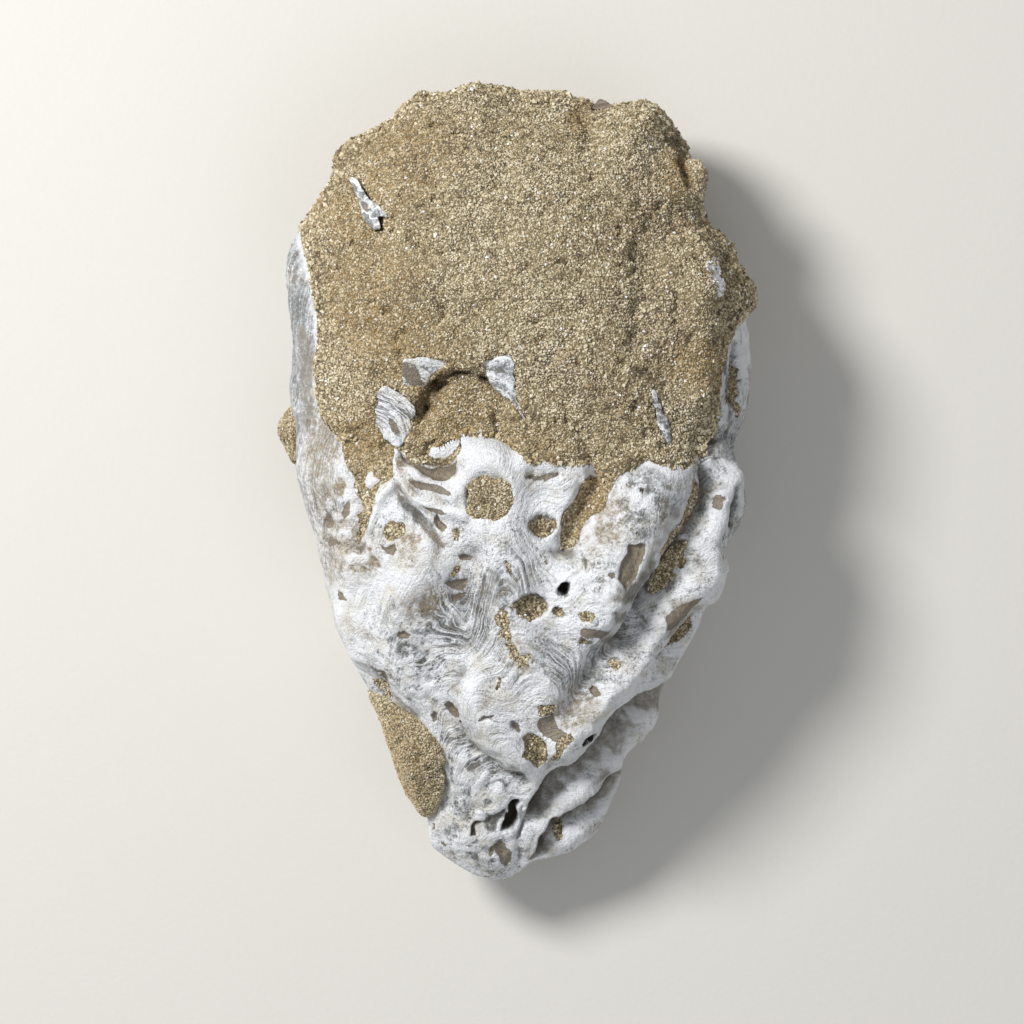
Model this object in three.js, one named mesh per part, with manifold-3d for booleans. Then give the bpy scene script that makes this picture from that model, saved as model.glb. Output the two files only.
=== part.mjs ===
// A large fossil oyster, lying flat, with the sandstone that fills and crusts its broad end.
// Millimetres, +Z up, the umbo points to -Y and the origin is under the middle of the whole.
import * as THREE from 'three';
import { mergeVertices } from 'three/addons/utils/BufferGeometryUtils.js';
import Module from 'manifold-3d';

const wasm = await Module();
wasm.setup();

// ---- Driving dimensions ------------------------------------------------------------------
const SEAT_GAP = 0.3;             // clearance between pieces that touch
const SHELL_POLE = [1, -36];      // plan point that the shell's rings close on
const SHELL_SEGMENTS = 80;
const SHELL_TOP_RINGS = 20;
const SHELL_BOTTOM_RINGS = 4;
const SHELL_SQUARENESS = 2.4;     // exponent of the shell's domed cross-section
const SHELL_FLAT_SHARE = 0.55;    // inner share of the underside that is flat, on the ground

const SAND_POLE = [-2, 40];       // plan point that the sandstone's rings close on
const SAND_SEGMENTS = 52;
const SAND_TOP_RINGS = 14;
const SAND_BOTTOM_RINGS = 4;
const SAND_SQUARENESS = 2.1;
const SAND_FLAT_SHARE = 0.5;
const SAND_FLOOR = 1;             // the sandstone's underside stays this far above the ground

// Widest line of the shell, anticlockwise from the right: x, y and height.
const SHELL_RIM = [
  [51.5, -4, 26], [49, 7, 28], [51.5, 15, 28], [52.5, 28, 30], [50, 41, 30], [43, 55, 29],
  [35, 67, 28], [22, 75, 28], [5, 78, 28], [-14, 77, 28], [-30, 70, 28], [-41, 62, 27],
  [-49, 56, 27], [-51.5, 49, 27], [-51, 40, 27], [-50, 31, 27], [-50.5, 22, 27],
  [-49.5, 13, 27], [-49.5, 4, 26], [-47.5, -4, 26], [-44.5, -14, 25], [-42.5, -23, 24],
  [-40.5, -32, 24], [-37, -40, 24], [-32, -48, 23], [-26.5, -57, 22], [-23.5, -66, 21],
  [-20, -75, 20], [-18.5, -82, 19], [-12, -87, 19], [-3.5, -90, 18], [0.5, -88.5, 17],
  [4, -86, 20], [12, -84, 18], [18, -79.5, 18], [21, -73, 21], [23.5, -67, 20],
  [25, -61.5, 21], [29, -57.5, 22], [32, -53, 21], [32.5, -47, 24], [37, -39, 24],
  [41.5, -31, 23], [44, -24, 25], [46.5, -15.5, 25], [50, -10, 25],
];

// Height of the shell's spine along its length: y, height.
const SHELL_SPINE = [
  [-92, 20], [-75, 31], [-50, 43], [-20, 52], [-5, 54], [3, 53.5], [9, 49], [14, 46.5], [45, 46],
  [82, 40],
];

// Raised ribs and sunk grooves: plan path, half-width, height and how flat-topped they are.
const SHELL_RIBS = [
  {
    path: [[36, -1], [32, -6], [27.5, -12.5], [22.5, -20.5], [19.5, -27]],
    width: 8, height: 3.6, flatness: 2.8,
  },
  { path: [[20.5, -25], [17, -35], [11, -45], [8, -49]], width: 5, height: 1.6 },
  { path: [[-6.7, 5.8], [-5, -4], [-3, -15], [-1, -26], [3, -40], [7, -48]], width: 6.5, height: 2.5 },
  { path: [[1.5, 4], [8, 3], [16.5, 3.5]], width: 2.6, height: 2.2 },
  { path: [[-19, 5.8], [-13, 7], [-6.5, 9], [-3.5, 8]], width: 2.2, height: 3 },
  { path: [[-25.5, 3], [-21.5, -4], [-17, -12], [-14, -16]], width: 3, height: 1.6 },
  { path: [[-28.5, 0], [-32, -7], [-37, -17]], width: 2.5, height: 1.6 },
  { path: [[-36, -17], [-37, -28], [-34, -37]], width: 4, height: 2 },
  { path: [[-20.5, -17.5], [-23, -26.5], [-26, -35.5], [-24, -44.5]], width: 5, height: 2.5 },
  { path: [[-10, -47], [-6, -53], [1, -62]], width: 5, height: 3 },
  { path: [[-10, -80], [-3.5, -85]], width: 4, height: 2 },
  {
    path: [[46, 1], [43, -11], [39, -21], [31, -32], [25, -41], [17, -50], [10, -58]],
    width: 3.6, height: 4.5,
  },
  { path: [[41, -17.5], [40, -27.5], [35, -38], [31, -46]], width: 3, height: 2.5 },
  { path: [[31, -51], [24, -59], [16.5, -68], [7, -77]], width: 3.2, height: 3 },
  { path: [[20, -73], [16, -77.5], [10, -82.5]], width: 3, height: 2.5 },
];
const SHELL_GROOVES = [
  { path: [[45, 10], [41, 4.5], [39, -4], [35.5, -13], [28.5, -26]], width: 2.8, height: -4.5 },
  { path: [[28, -26.5], [23.5, -32.5], [14.5, -44.5], [10.5, -49.5]], width: 3.6, height: -2.4 },
  { path: [[39, -28], [35, -33], [32, -37]], width: 2.2, height: -2.5 },
  { path: [[-10, -17.5], [-11, -26.5], [-11, -35.5]], width: 4.2, height: -3 },
  { path: [[5, -4], [5.5, -24]], width: 4, height: -1.5 },
  { path: [[-12, -42.5], [-13, -51.5], [-8.5, -60], [0.5, -66]], width: 2.8, height: -2.2 },
  { path: [[18, -1.5], [13.5, -8.5], [10.5, -14.5]], width: 3.2, height: -3.5 },
  { path: [[-34, 1], [-35, -14]], width: 2.2, height: -2.2 },
  { path: [[-31, -49], [-25, -57.5], [-21, -68]], width: 5.4, height: -2.5, flatness: 4 },
];

// Walls: the ground drops on the right of the plan path, over the wall's width, and climbs back
// over the reach.
const SHELL_STEPS = [
  { path: [[21.5, -33], [28, -24.5], [36.5, -11], [41, 2]], wall: 2.6, drop: 3.4, reach: 6 },
  { path: [[2.5, -73], [8, -64.5], [17, -57.5], [24, -48.5], [33.5, -42.5]], wall: 3, drop: 5.6, reach: 8 },
  { path: [[4, -84.5], [6.5, -78.5], [17, -71], [23.5, -63.5]], wall: 3, drop: 3.6, reach: 6.5 },
];

// Bored pits: plan centre, half-length, half-width, depth and turn in degrees.
const SHELL_PITS = [
  { x: 6, y: -9.8, length: 3.6, width: 3, depth: 3, turn: 0 },
  { x: 3.5, y: -27.3, length: 4, width: 2.9, depth: 2.6, turn: -12 },
  { x: 10.7, y: -23.7, length: 1.8, width: 2.1, depth: 4.5, turn: -15 },
  { x: 17, y: -32.3, length: 2.7, width: 1.4, depth: 1.5, turn: 5 },
  { x: 15.4, y: -56.1, length: 2.2, width: 1.1, depth: 2.5, turn: 45 },
  { x: 6.6, y: -51.6, length: 3.6, width: 1.9, depth: 2.2, turn: -80 },
  { x: 3.9, y: -58.5, length: 3.2, width: 2, depth: 2.5, turn: -70 },
  { x: -1, y: -74.8, length: 4.2, width: 1.7, depth: 4, turn: 78 },
];

// Hollows that hold a plug of sandstone.
const CENTRE_HOLLOW = { x: -5.7, y: -3.3, length: 5.5, width: 5.4, depth: 3.2, turn: 0 };
const GROOVE_HOLLOW = { x: 34.1, y: -19.5, length: 7.4, width: 3.3, depth: 3.4, turn: 57 };

// Widest line of the sandstone where it is free, and the line where it laps onto the shell.
const SAND_RIM = [
  [54, 41, 30], [51.5, 48, 29], [47.5, 54.5, 28], [43.5, 57.5, 28], [42, 62.5, 27],
  [43, 68, 27], [39.5, 73, 27], [38, 76, 26], [35, 81, 26], [31.5, 85, 26], [27, 86.3, 26],
  [20, 85.2, 27], [10, 87.3, 27], [-1, 88.7, 27], [-9.5, 90, 27], [-14.5, 88, 27],
  [-22, 87, 27], [-26, 83.5, 27], [-31.5, 79.5, 27], [-39.3, 75, 27], [-41.5, 69, 28],
  [-44.3, 62.5, 29], [-48, 57, 30], [-47, 50, 32], [-45.6, 41, 33], [-44.6, 30, 35],
  [-44.3, 19.5, 37], [-43.6, 12, 38.2], [-40, 7, 42.6], [-37.9, 2.6, 45.4], [-36.2, -1, 46],
  [-33, -3.2, 46.4], [-29.3, -2.2, 50], [-26.4, -0.4, 50.4], [-23.6, 2.4, 48.4],
  [-20.6, 4.7, 48.8], [-18, 5.6, 49.8], [-13.6, 7.3, 50.6], [-10.9, 8.7, 51.4],
  [-6.4, 9.8, 52.2], [-2.7, 9, 52.6], [-0.4, 7, 52.6], [1.8, 4.8, 52.6], [4.6, 3.6, 52.6],
  [7.4, 4.4, 52.8], [11.2, 3.4, 52.4], [14.7, 3.4, 52.2], [17.2, 3.2, 51.2], [19, 1.4, 50.4],
  [21.9, 0.8, 51], [25.3, 3, 51], [28.7, 5, 50.4], [31.8, 4.4, 51], [34.9, 2.6, 50.6],
  [37.8, 2.6, 48], [40.5, 5.2, 43], [43.6, 10.3, 38.2], [46.4, 15.5, 37.4], [47.6, 20, 36.4],
  [48.6, 26.5, 36], [50.8, 33, 34],
];
const SAND_SPINE = [[0, 54], [18, 55.5], [40, 56], [60, 54], [75, 50], [92, 45]];
const SAND_RELIEF = [
  { path: [[29.5, 49.5], [28, 41], [26.5, 31]], width: 3, height: -2.4 },
  { path: [[39.3, 52.3], [41.5, 34.3], [40.4, 18.6]], width: 4, height: 2.5 },
  { path: [[15, 86.5], [16.3, 77]], width: 2.2, height: -2.5 },
  { path: [[27, 79], [24, 72]], width: 5, height: 2.5 },
  { path: [[40, 70], [40.5, 69]], width: 3, height: 2 },
  { path: [[-36, 66], [-31, 57]], width: 3, height: -1.5 },
  { path: [[-12, 60], [-2, 50]], width: 9, height: -1.5 },
  { path: [[-30, 40], [-24, 32]], width: 8, height: 1 },
];
const RECESS = { x: -12, y: 15, length: 11, width: 10.5, depth: 2, turn: 10 };

const UMBO_PATCH_POLE = [-24.5, -60];
const UMBO_PATCH_RIM = [
  [-16, -62.5, 34], [-18.5, -56.5, 35.5], [-22, -53, 35], [-28, -49, 33], [-33.3, -46.6, 26.5],
  [-31.5, -51.5, 24], [-29.3, -57, 23], [-26, -66.5, 22], [-22.3, -73.5, 21], [-19.5, -75, 23],
  [-17, -70, 29],
];
const UMBO_PATCH_SPINE = [[-76, 28], [-62, 35], [-45, 36]];

const SIDE_LUMP = { centre: [-49.3, 11.5, 18.5], radii: [4.9, 7.2, 6.5] };

// Chips set in the sandstone: plan outline, thickness, height of the face and tilt.
const CRESCENT = {
  outline: [
    [-28.7, 21], [-30.5, 19.5], [-31.2, 16.3], [-30, 11], [-27.6, 8.4], [-25.4, 8], [-24.6, 12],
    [-23.4, 17.2], [-24.2, 19.7], [-26.2, 21],
  ],
  thickness: 4,
  proud: 0.9,
  tilt: [0, -12],
};
const LEFT_CHIP = {
  outline: [[-24.4, 27.3], [-21.9, 22.8], [-20.4, 21.4], [-18.8, 22.4], [-15.4, 26.7], [-18.8, 27.8]],
  thickness: 2.6,
  proud: 0.7,
  tilt: [14, -2],
};
const RIGHT_CHIP = {
  outline: [[-7.4, 26.8], [-4.2, 22], [-1.7, 19.5], [1.2, 15.4], [0.4, 22], [-1.4, 28.4], [-5, 27.8]],
  thickness: 2.6,
  proud: 0.8,
  tilt: [11, -10],
};
const FLANK_CHIP = {
  outline: [[43, 48.6], [43, 45.4], [44.6, 42.6], [46.5, 42.6], [46.3, 46], [44.6, 49.2]],
  thickness: 3,
  proud: 0.9,
  tilt: [-20, 45],
};
const SLIVER = {
  outline: [
    [-36, 68.3], [-35.2, 65], [-34.2, 61.5], [-33.4, 58.6], [-31.3, 56.5], [-29, 58.2],
    [-31.6, 64.2], [-33.8, 67],
  ],
  thickness: 2.4,
  proud: 0.8,
  tilt: [-20, -28],
};
const BROWN_CHIP = {
  outline: [[16.4, 85.2], [16.7, 83.6], [18.6, 82.5], [20.4, 82.7], [22, 84.2], [21.8, 85.7], [19, 86]],
  thickness: 3.4,
  proud: 0.8,
  tilt: [-45, -10],
};

// ---- Surface formulas --------------------------------------------------------------------

// Smooth curve through (position, value) stations, level beyond the two ends.
function alongStations(stations, position) {
  const last = stations.length - 1;
  if (position <= stations[0][0]) return stations[0][1];
  if (position >= stations[last][0]) return stations[last][1];
  let i = 0;
  while (stations[i + 1][0] < position) i += 1;
  const slopeAt = (k) => {
    const before = stations[Math.max(k - 1, 0)];
    const after = stations[Math.min(k + 1, last)];
    return (after[1] - before[1]) / (after[0] - before[0]);
  };
  const [x0, y0] = stations[i];
  const [x1, y1] = stations[i + 1];
  const span = x1 - x0;
  const f = (position - x0) / span;
  const rise = y0 * (1 + 2 * f) * (1 - f) ** 2 + y1 * f * f * (3 - 2 * f);
  return rise + span * (slopeAt(i) * f * (1 - f) ** 2 + slopeAt(i + 1) * f * f * (f - 1));
}

// Where a plan point lies beside a path: its distance, how far it is across the nearest stretch,
// positive on the right, and how far past the path's nearer end.
function besidePath(x, y, path) {
  const last = path.length - 2;
  let nearest = { distance: Infinity };
  for (let i = 0; i <= last; i += 1) {
    const [ax, ay] = path[i];
    const dx = path[i + 1][0] - ax;
    const dy = path[i + 1][1] - ay;
    const length = Math.hypot(dx, dy);
    const share = ((x - ax) * dx + (y - ay) * dy) / length ** 2;
    const held = THREE.MathUtils.clamp(share, 0, 1);
    const distance = Math.hypot(x - ax - held * dx, y - ay - held * dy);
    if (distance < nearest.distance) {
      const across = ((x - ax) * dy - (y - ay) * dx) / length;
      const atEnd = (i === 0 && share < 0) || (i === last && share > 1);
      nearest = { distance, across, past: atEnd ? Math.abs(share - held) * length : 0 };
    }
  }
  return nearest;
}

// Sum of the bell-shaped ribs (height above 0) and grooves (below 0) at a plan point.
function ridgeRelief(features, x, y) {
  const bell = ({ path, width, height, flatness = 2 }) => (
    height * Math.exp(-((besidePath(x, y, path).distance / width) ** flatness))
  );
  return features.reduce((sum, feature) => sum + bell(feature), 0);
}

// Sum of the walls at a plan point: a smooth drop, and a climb back as exp(-(across / reach)²).
function stepRelief(steps, x, y) {
  const drop = (step) => {
    const { across, past } = besidePath(x, y, step.path);
    const fall = THREE.MathUtils.smoothstep(across, -0.3 * step.wall, 0.7 * step.wall);
    const back = Math.exp(-((Math.max(across, 0) / step.reach) ** 2) - (past / (0.4 * step.reach)) ** 2);
    return -step.drop * fall * back;
  };
  return steps.reduce((sum, step) => sum + drop(step), 0);
}

function shellRelief(x, y) {
  return ridgeRelief(SHELL_RIBS, x, y) + ridgeRelief(SHELL_GROOVES, x, y) + stepRelief(SHELL_STEPS, x, y);
}

function sandRelief(x, y) {
  return ridgeRelief(SAND_RELIEF, x, y);
}

// Closed body on a rim curve that is drawn in to a pole. Above the rim it rises to the spine
// as (1 - t^n)^(1/n); below, it falls in a quarter round to a flat floor. Relief stands along
// the dome's own normal and fades out at the rim.
function domedBody({
  rim, pole, spine, squareness, segments, topRings, bottomRings, flatShare, floor, relief,
}) {
  const curve = new THREE.CatmullRomCurve3(rim.map((p) => new THREE.Vector3(...p)), true, 'centripetal');
  const planPoint = (share, t) => {
    const onRim = curve.getPointAt(THREE.MathUtils.euclideanModulo(share, 1));
    const x = THREE.MathUtils.lerp(pole[0], onRim.x, t);
    const y = THREE.MathUtils.lerp(pole[1], onRim.y, t);
    return { x, y, rimHeight: onRim.z };
  };
  const domePoint = (share, t) => {
    const { x, y, rimHeight } = planPoint(share, t);
    const rise = (1 - t ** squareness) ** (1 / squareness);
    return new THREE.Vector3(x, y, THREE.MathUtils.lerp(rimHeight, alongStations(spine, y), rise));
  };
  const reliefPoint = (share, t) => {
    const step = 0.004;
    const point = domePoint(share, t);
    const around = domePoint(share + step, t).sub(domePoint(share - step, t));
    const inward = domePoint(share, Math.max(t - step, 0)).sub(domePoint(share, Math.min(t + step, 1)));
    const normal = around.cross(inward).normalize();
    const fade = 1 - THREE.MathUtils.smoothstep(t, 0.88, 1);
    return point.addScaledVector(normal, relief(point.x, point.y) * fade);
  };
  const floorPoint = (share, t) => {
    const { x, y, rimHeight } = planPoint(share, t);
    const outer = Math.max(0, (t - flatShare) / (1 - flatShare));
    const rise = 1 - Math.sqrt(1 - outer * outer);
    return new THREE.Vector3(x, y, THREE.MathUtils.lerp(floor, rimHeight, rise));
  };

  const crown = new THREE.Vector3(pole[0], pole[1], alongStations(spine, pole[1]) + relief(...pole));
  const points = [crown];
  const spread = (q) => 1 - (1 - q) ** 1.5;
  for (let ring = 1; ring <= topRings; ring += 1) {
    for (let i = 0; i < segments; i += 1) points.push(reliefPoint(i / segments, spread(ring / topRings)));
  }
  for (let ring = bottomRings - 1; ring >= 1; ring -= 1) {
    for (let i = 0; i < segments; i += 1) points.push(floorPoint(i / segments, spread(ring / bottomRings)));
  }
  points.push(new THREE.Vector3(pole[0], pole[1], floor));

  const rings = topRings + bottomRings - 1;
  const at = (ring, i) => 1 + (ring - 1) * segments + (i % segments);
  const last = points.length - 1;
  const index = [];
  for (let i = 0; i < segments; i += 1) {
    index.push(0, at(1, i), at(1, i + 1));
    for (let ring = 1; ring < rings; ring += 1) {
      index.push(at(ring, i), at(ring + 1, i), at(ring + 1, i + 1));
      index.push(at(ring, i), at(ring + 1, i + 1), at(ring, i + 1));
    }
    index.push(last, at(rings, i + 1), at(rings, i));
  }
  const geometry = new THREE.BufferGeometry().setFromPoints(points);
  geometry.setIndex(index);
  return geometry;
}

// ---- Solids ------------------------------------------------------------------------------

function welded(geometry) {
  const bare = geometry.clone();
  bare.deleteAttribute('normal');
  bare.deleteAttribute('uv');
  return mergeVertices(bare, 1e-4);
}

function toSolid(geometry) {
  const merged = welded(geometry);
  const vertProperties = new Float32Array(merged.attributes.position.array);
  const triVerts = new Uint32Array(merged.index.array);
  return new wasm.Manifold(new wasm.Mesh({ numProp: 3, vertProperties, triVerts }));
}

function toGeometry(solid) {
  const { vertProperties, triVerts } = solid.getMesh();
  const geometry = new THREE.BufferGeometry();
  geometry.setAttribute('position', new THREE.BufferAttribute(vertProperties, 3));
  geometry.setIndex(new THREE.BufferAttribute(triVerts, 1));
  return geometry;
}

// The same shape, every vertex moved out along its normal.
function swollen(geometry, distance) {
  const merged = welded(geometry);
  merged.computeVertexNormals();
  const { position, normal } = merged.attributes;
  for (let i = 0; i < position.count; i += 1) {
    position.setXYZ(
      i,
      position.getX(i) + normal.getX(i) * distance,
      position.getY(i) + normal.getY(i) * distance,
      position.getZ(i) + normal.getZ(i) * distance,
    );
  }
  return merged;
}

// Height of a body's upper side over a plan point.
function heightOver(geometry, x, y) {
  const down = new THREE.Raycaster(new THREE.Vector3(x, y, 200), new THREE.Vector3(0, 0, -1));
  return down.intersectObject(new THREE.Mesh(geometry))[0].point.z;
}

function hollowShape(geometry, { x, y, length, width, depth, turn }, shrink = 0, detail = 1) {
  const shape = new THREE.IcosahedronGeometry(1, detail);
  shape.scale(length - shrink, width - shrink, depth - shrink);
  shape.rotateZ(THREE.MathUtils.degToRad(turn));
  shape.translate(x, y, heightOver(geometry, x, y));
  return shape;
}

// Sandstone in a hollow: the hollow's own shape, a little smaller, with its upper half pressed low.
function plugShape(geometry, hollow) {
  const shape = hollowShape(geometry, hollow, SEAT_GAP * 1.4);
  const surface = heightOver(geometry, hollow.x, hollow.y);
  const { position } = shape.attributes;
  for (let i = 0; i < position.count; i += 1) {
    const above = position.getZ(i) - surface;
    if (above > 0) position.setZ(i, surface + above * 0.15);
  }
  return shape;
}

// A chip: its outline as a bevelled plate, laid at the face it is set in and tilted.
function chipShape(geometry, { outline, thickness, proud, tilt }, grow = 0) {
  const bevel = 0.5 + grow;
  const mean = (axis) => outline.reduce((sum, point) => sum + point[axis], 0) / outline.length;
  const centre = [mean(0), mean(1)];
  const shape = new THREE.Shape(outline.map(([x, y]) => new THREE.Vector2(x - centre[0], y - centre[1])));
  const plate = new THREE.ExtrudeGeometry(shape, {
    depth: thickness - 1,
    bevelEnabled: true,
    bevelSegments: 1,
    bevelThickness: bevel,
    bevelSize: bevel,
    bevelOffset: -0.5,
  });
  plate.translate(0, 0, 0.5 - thickness + proud);
  plate.rotateX(THREE.MathUtils.degToRad(tilt[0]));
  plate.rotateY(THREE.MathUtils.degToRad(tilt[1]));
  plate.translate(centre[0], centre[1], heightOver(geometry, ...centre));
  return plate;
}

// ---- Pieces ------------------------------------------------------------------------------

const shellBlank = domedBody({
  rim: SHELL_RIM,
  pole: SHELL_POLE,
  spine: SHELL_SPINE,
  squareness: SHELL_SQUARENESS,
  segments: SHELL_SEGMENTS,
  topRings: SHELL_TOP_RINGS,
  bottomRings: SHELL_BOTTOM_RINGS,
  flatShare: SHELL_FLAT_SHARE,
  floor: 0,
  relief: shellRelief,
});
const shellClearance = toSolid(swollen(shellBlank, SEAT_GAP));

function boredShell() {
  const hollows = [...SHELL_PITS, CENTRE_HOLLOW, GROOVE_HOLLOW];
  return hollows.reduce(
    (solid, hollow) => solid.subtract(toSolid(hollowShape(shellBlank, hollow))),
    toSolid(shellBlank),
  );
}

const sandBlank = domedBody({
  rim: SAND_RIM,
  pole: SAND_POLE,
  spine: SAND_SPINE,
  squareness: SAND_SQUARENESS,
  segments: SAND_SEGMENTS,
  topRings: SAND_TOP_RINGS,
  bottomRings: SAND_BOTTOM_RINGS,
  flatShare: SAND_FLAT_SHARE,
  floor: SAND_FLOOR,
  relief: sandRelief,
});

const CHIPS = {
  shell_fragment_crescent: CRESCENT,
  shell_fragment_left: LEFT_CHIP,
  shell_fragment_right: RIGHT_CHIP,
  shell_fragment_flank: FLANK_CHIP,
  shell_sliver: SLIVER,
  brown_chip: BROWN_CHIP,
};

function matrixSolid() {
  const recess = toSolid(hollowShape(sandBlank, RECESS, 0, 2));
  const lapped = toSolid(sandBlank).subtract(shellClearance).subtract(recess);
  return Object.values(CHIPS).reduce(
    (solid, chip) => solid.subtract(toSolid(chipShape(sandBlank, chip, SEAT_GAP))),
    lapped,
  );
}

function umboPatchSolid() {
  const blank = domedBody({
    rim: UMBO_PATCH_RIM,
    pole: UMBO_PATCH_POLE,
    spine: UMBO_PATCH_SPINE,
    squareness: 2.2,
    segments: 22,
    topRings: 6,
    bottomRings: 3,
    flatShare: 0.3,
    floor: 13,
    relief: () => 0,
  });
  return toSolid(blank).subtract(shellClearance);
}

function sideLumpSolid() {
  const shape = new THREE.IcosahedronGeometry(1, 2);
  shape.scale(...SIDE_LUMP.radii);
  shape.translate(...SIDE_LUMP.centre);
  return toSolid(shape).subtract(shellClearance);
}

// ---- Materials ---------------------------------------------------------------------------

const chalkyShell = new THREE.MeshStandardMaterial({ color: 0xd2d2cd, roughness: 0.75, metalness: 0 });
const sandstone = new THREE.MeshStandardMaterial({ color: 0xa8997c, roughness: 0.95, metalness: 0 });
const brownStone = new THREE.MeshStandardMaterial({ color: 0x74695a, roughness: 0.8, metalness: 0 });

const fossil = new THREE.Group();

function addPiece(name, geometry, material) {
  const mesh = new THREE.Mesh(geometry, material);
  mesh.name = name;
  fossil.add(mesh);
}

addPiece('oyster_shell', toGeometry(boredShell()), chalkyShell);
addPiece('sandstone_matrix', toGeometry(matrixSolid()), sandstone);
addPiece('sandstone_umbo_patch', toGeometry(umboPatchSolid()), sandstone);
addPiece('sandstone_centre_plug', welded(plugShape(shellBlank, CENTRE_HOLLOW)), sandstone);
addPiece('sandstone_groove_plug', welded(plugShape(shellBlank, GROOVE_HOLLOW)), sandstone);
addPiece('sandstone_side_lump', toGeometry(sideLumpSolid()), sandstone);
for (const [name, chip] of Object.entries(CHIPS)) {
  const material = name === 'brown_chip' ? brownStone : chalkyShell;
  addPiece(name, welded(chipShape(sandBlank, chip)), material);
}

const extent = new THREE.Box3().setFromObject(fossil);
const middle = extent.getCenter(new THREE.Vector3());
fossil.position.set(-middle.x, -middle.y, -extent.min.z);

export default fossil;
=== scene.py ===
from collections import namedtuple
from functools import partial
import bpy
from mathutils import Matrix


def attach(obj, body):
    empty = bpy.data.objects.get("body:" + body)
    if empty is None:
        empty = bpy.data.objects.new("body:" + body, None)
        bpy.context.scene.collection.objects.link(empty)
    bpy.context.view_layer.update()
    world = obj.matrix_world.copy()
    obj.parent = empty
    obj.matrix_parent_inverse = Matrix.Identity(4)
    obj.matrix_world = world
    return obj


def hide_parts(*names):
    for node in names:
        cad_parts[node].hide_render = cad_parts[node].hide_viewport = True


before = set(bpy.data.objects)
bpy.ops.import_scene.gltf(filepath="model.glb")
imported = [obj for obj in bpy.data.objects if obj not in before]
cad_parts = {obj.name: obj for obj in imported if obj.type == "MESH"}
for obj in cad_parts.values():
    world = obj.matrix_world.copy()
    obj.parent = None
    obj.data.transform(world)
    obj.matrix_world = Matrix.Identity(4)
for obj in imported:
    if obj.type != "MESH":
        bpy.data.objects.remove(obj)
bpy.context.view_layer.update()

# A large fossil oyster, lying flat, with the coarse sandstone that fills and crusts its broad end.
# Shapes are worked out in millimetres with numpy and written to the meshes in metres.
from types import SimpleNamespace

import bpy
import numpy as np
from bpy.props import FloatProperty, FloatVectorProperty, IntProperty, PointerProperty
from mathutils import Vector

bl_info = {
    "name": "Fossil oyster",
    "version": (1, 0, 0),
    "blender": (4, 5, 0),
    "location": "View3D > Sidebar > Fossil",
    "description": "Makes a fossil oyster shell with its sandstone around the packed model",
    "category": "Add Mesh",
}

MM = 0.001

# ---- Shapes, in millimetres -----------------------------------------------------------------

Ridge = namedtuple("Ridge", "path width height sharpness")      # height below 0 is a groove
Step = namedtuple("Step", "path wall drop reach")               # drops on the right of its path
Spot = namedtuple("Spot", "x y length width turn")              # an oval in plan, turn in degrees
Strip = namedtuple("Strip", "path width")                       # a band along a path
Pit = namedtuple("Pit", "spot depth")
Patch = namedtuple("Patch", "kind outline depth")               # straight-sided, with a flat floor

SHELL_POLE = (1.0, -36.0)
SHELL_RIM = (
    (51.5, -4, 26), (49, 7, 28), (51.5, 15, 28), (52.5, 28, 30), (50, 41, 30), (43, 55, 29),
    (35, 67, 28), (22, 75, 28), (5, 78, 28), (-14, 77, 28), (-30, 70, 28), (-41, 62, 27),
    (-49, 56, 27), (-51.5, 49, 27), (-51, 40, 27), (-50, 31, 27), (-50.5, 22, 27),
    (-49.5, 13, 27), (-49.5, 4, 26), (-47.5, -4, 26), (-44.5, -14, 25), (-42.5, -23, 24),
    (-40.5, -32, 24), (-37, -40, 24), (-32, -48, 23), (-26.5, -57, 22), (-23.5, -66, 21),
    (-20, -75, 20), (-18.5, -82, 19), (-12, -87, 19), (-3.5, -90, 18), (0.5, -88.5, 17),
    (4, -86, 20), (12, -84, 18), (18, -79.5, 18), (21, -73, 21), (23.5, -67, 20),
    (25, -61.5, 21), (29, -57.5, 22), (32, -53, 21), (32.5, -47, 24), (37, -39, 24),
    (41.5, -31, 23), (44, -24, 25), (46.5, -15.5, 25), (50, -10, 25),
)
SHELL_SPINE = (
    (-92, 20), (-75, 31), (-50, 43), (-20, 52), (-5, 54), (3, 53.5), (9, 49), (14, 46.5), (45, 46),
    (82, 40),
)
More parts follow.
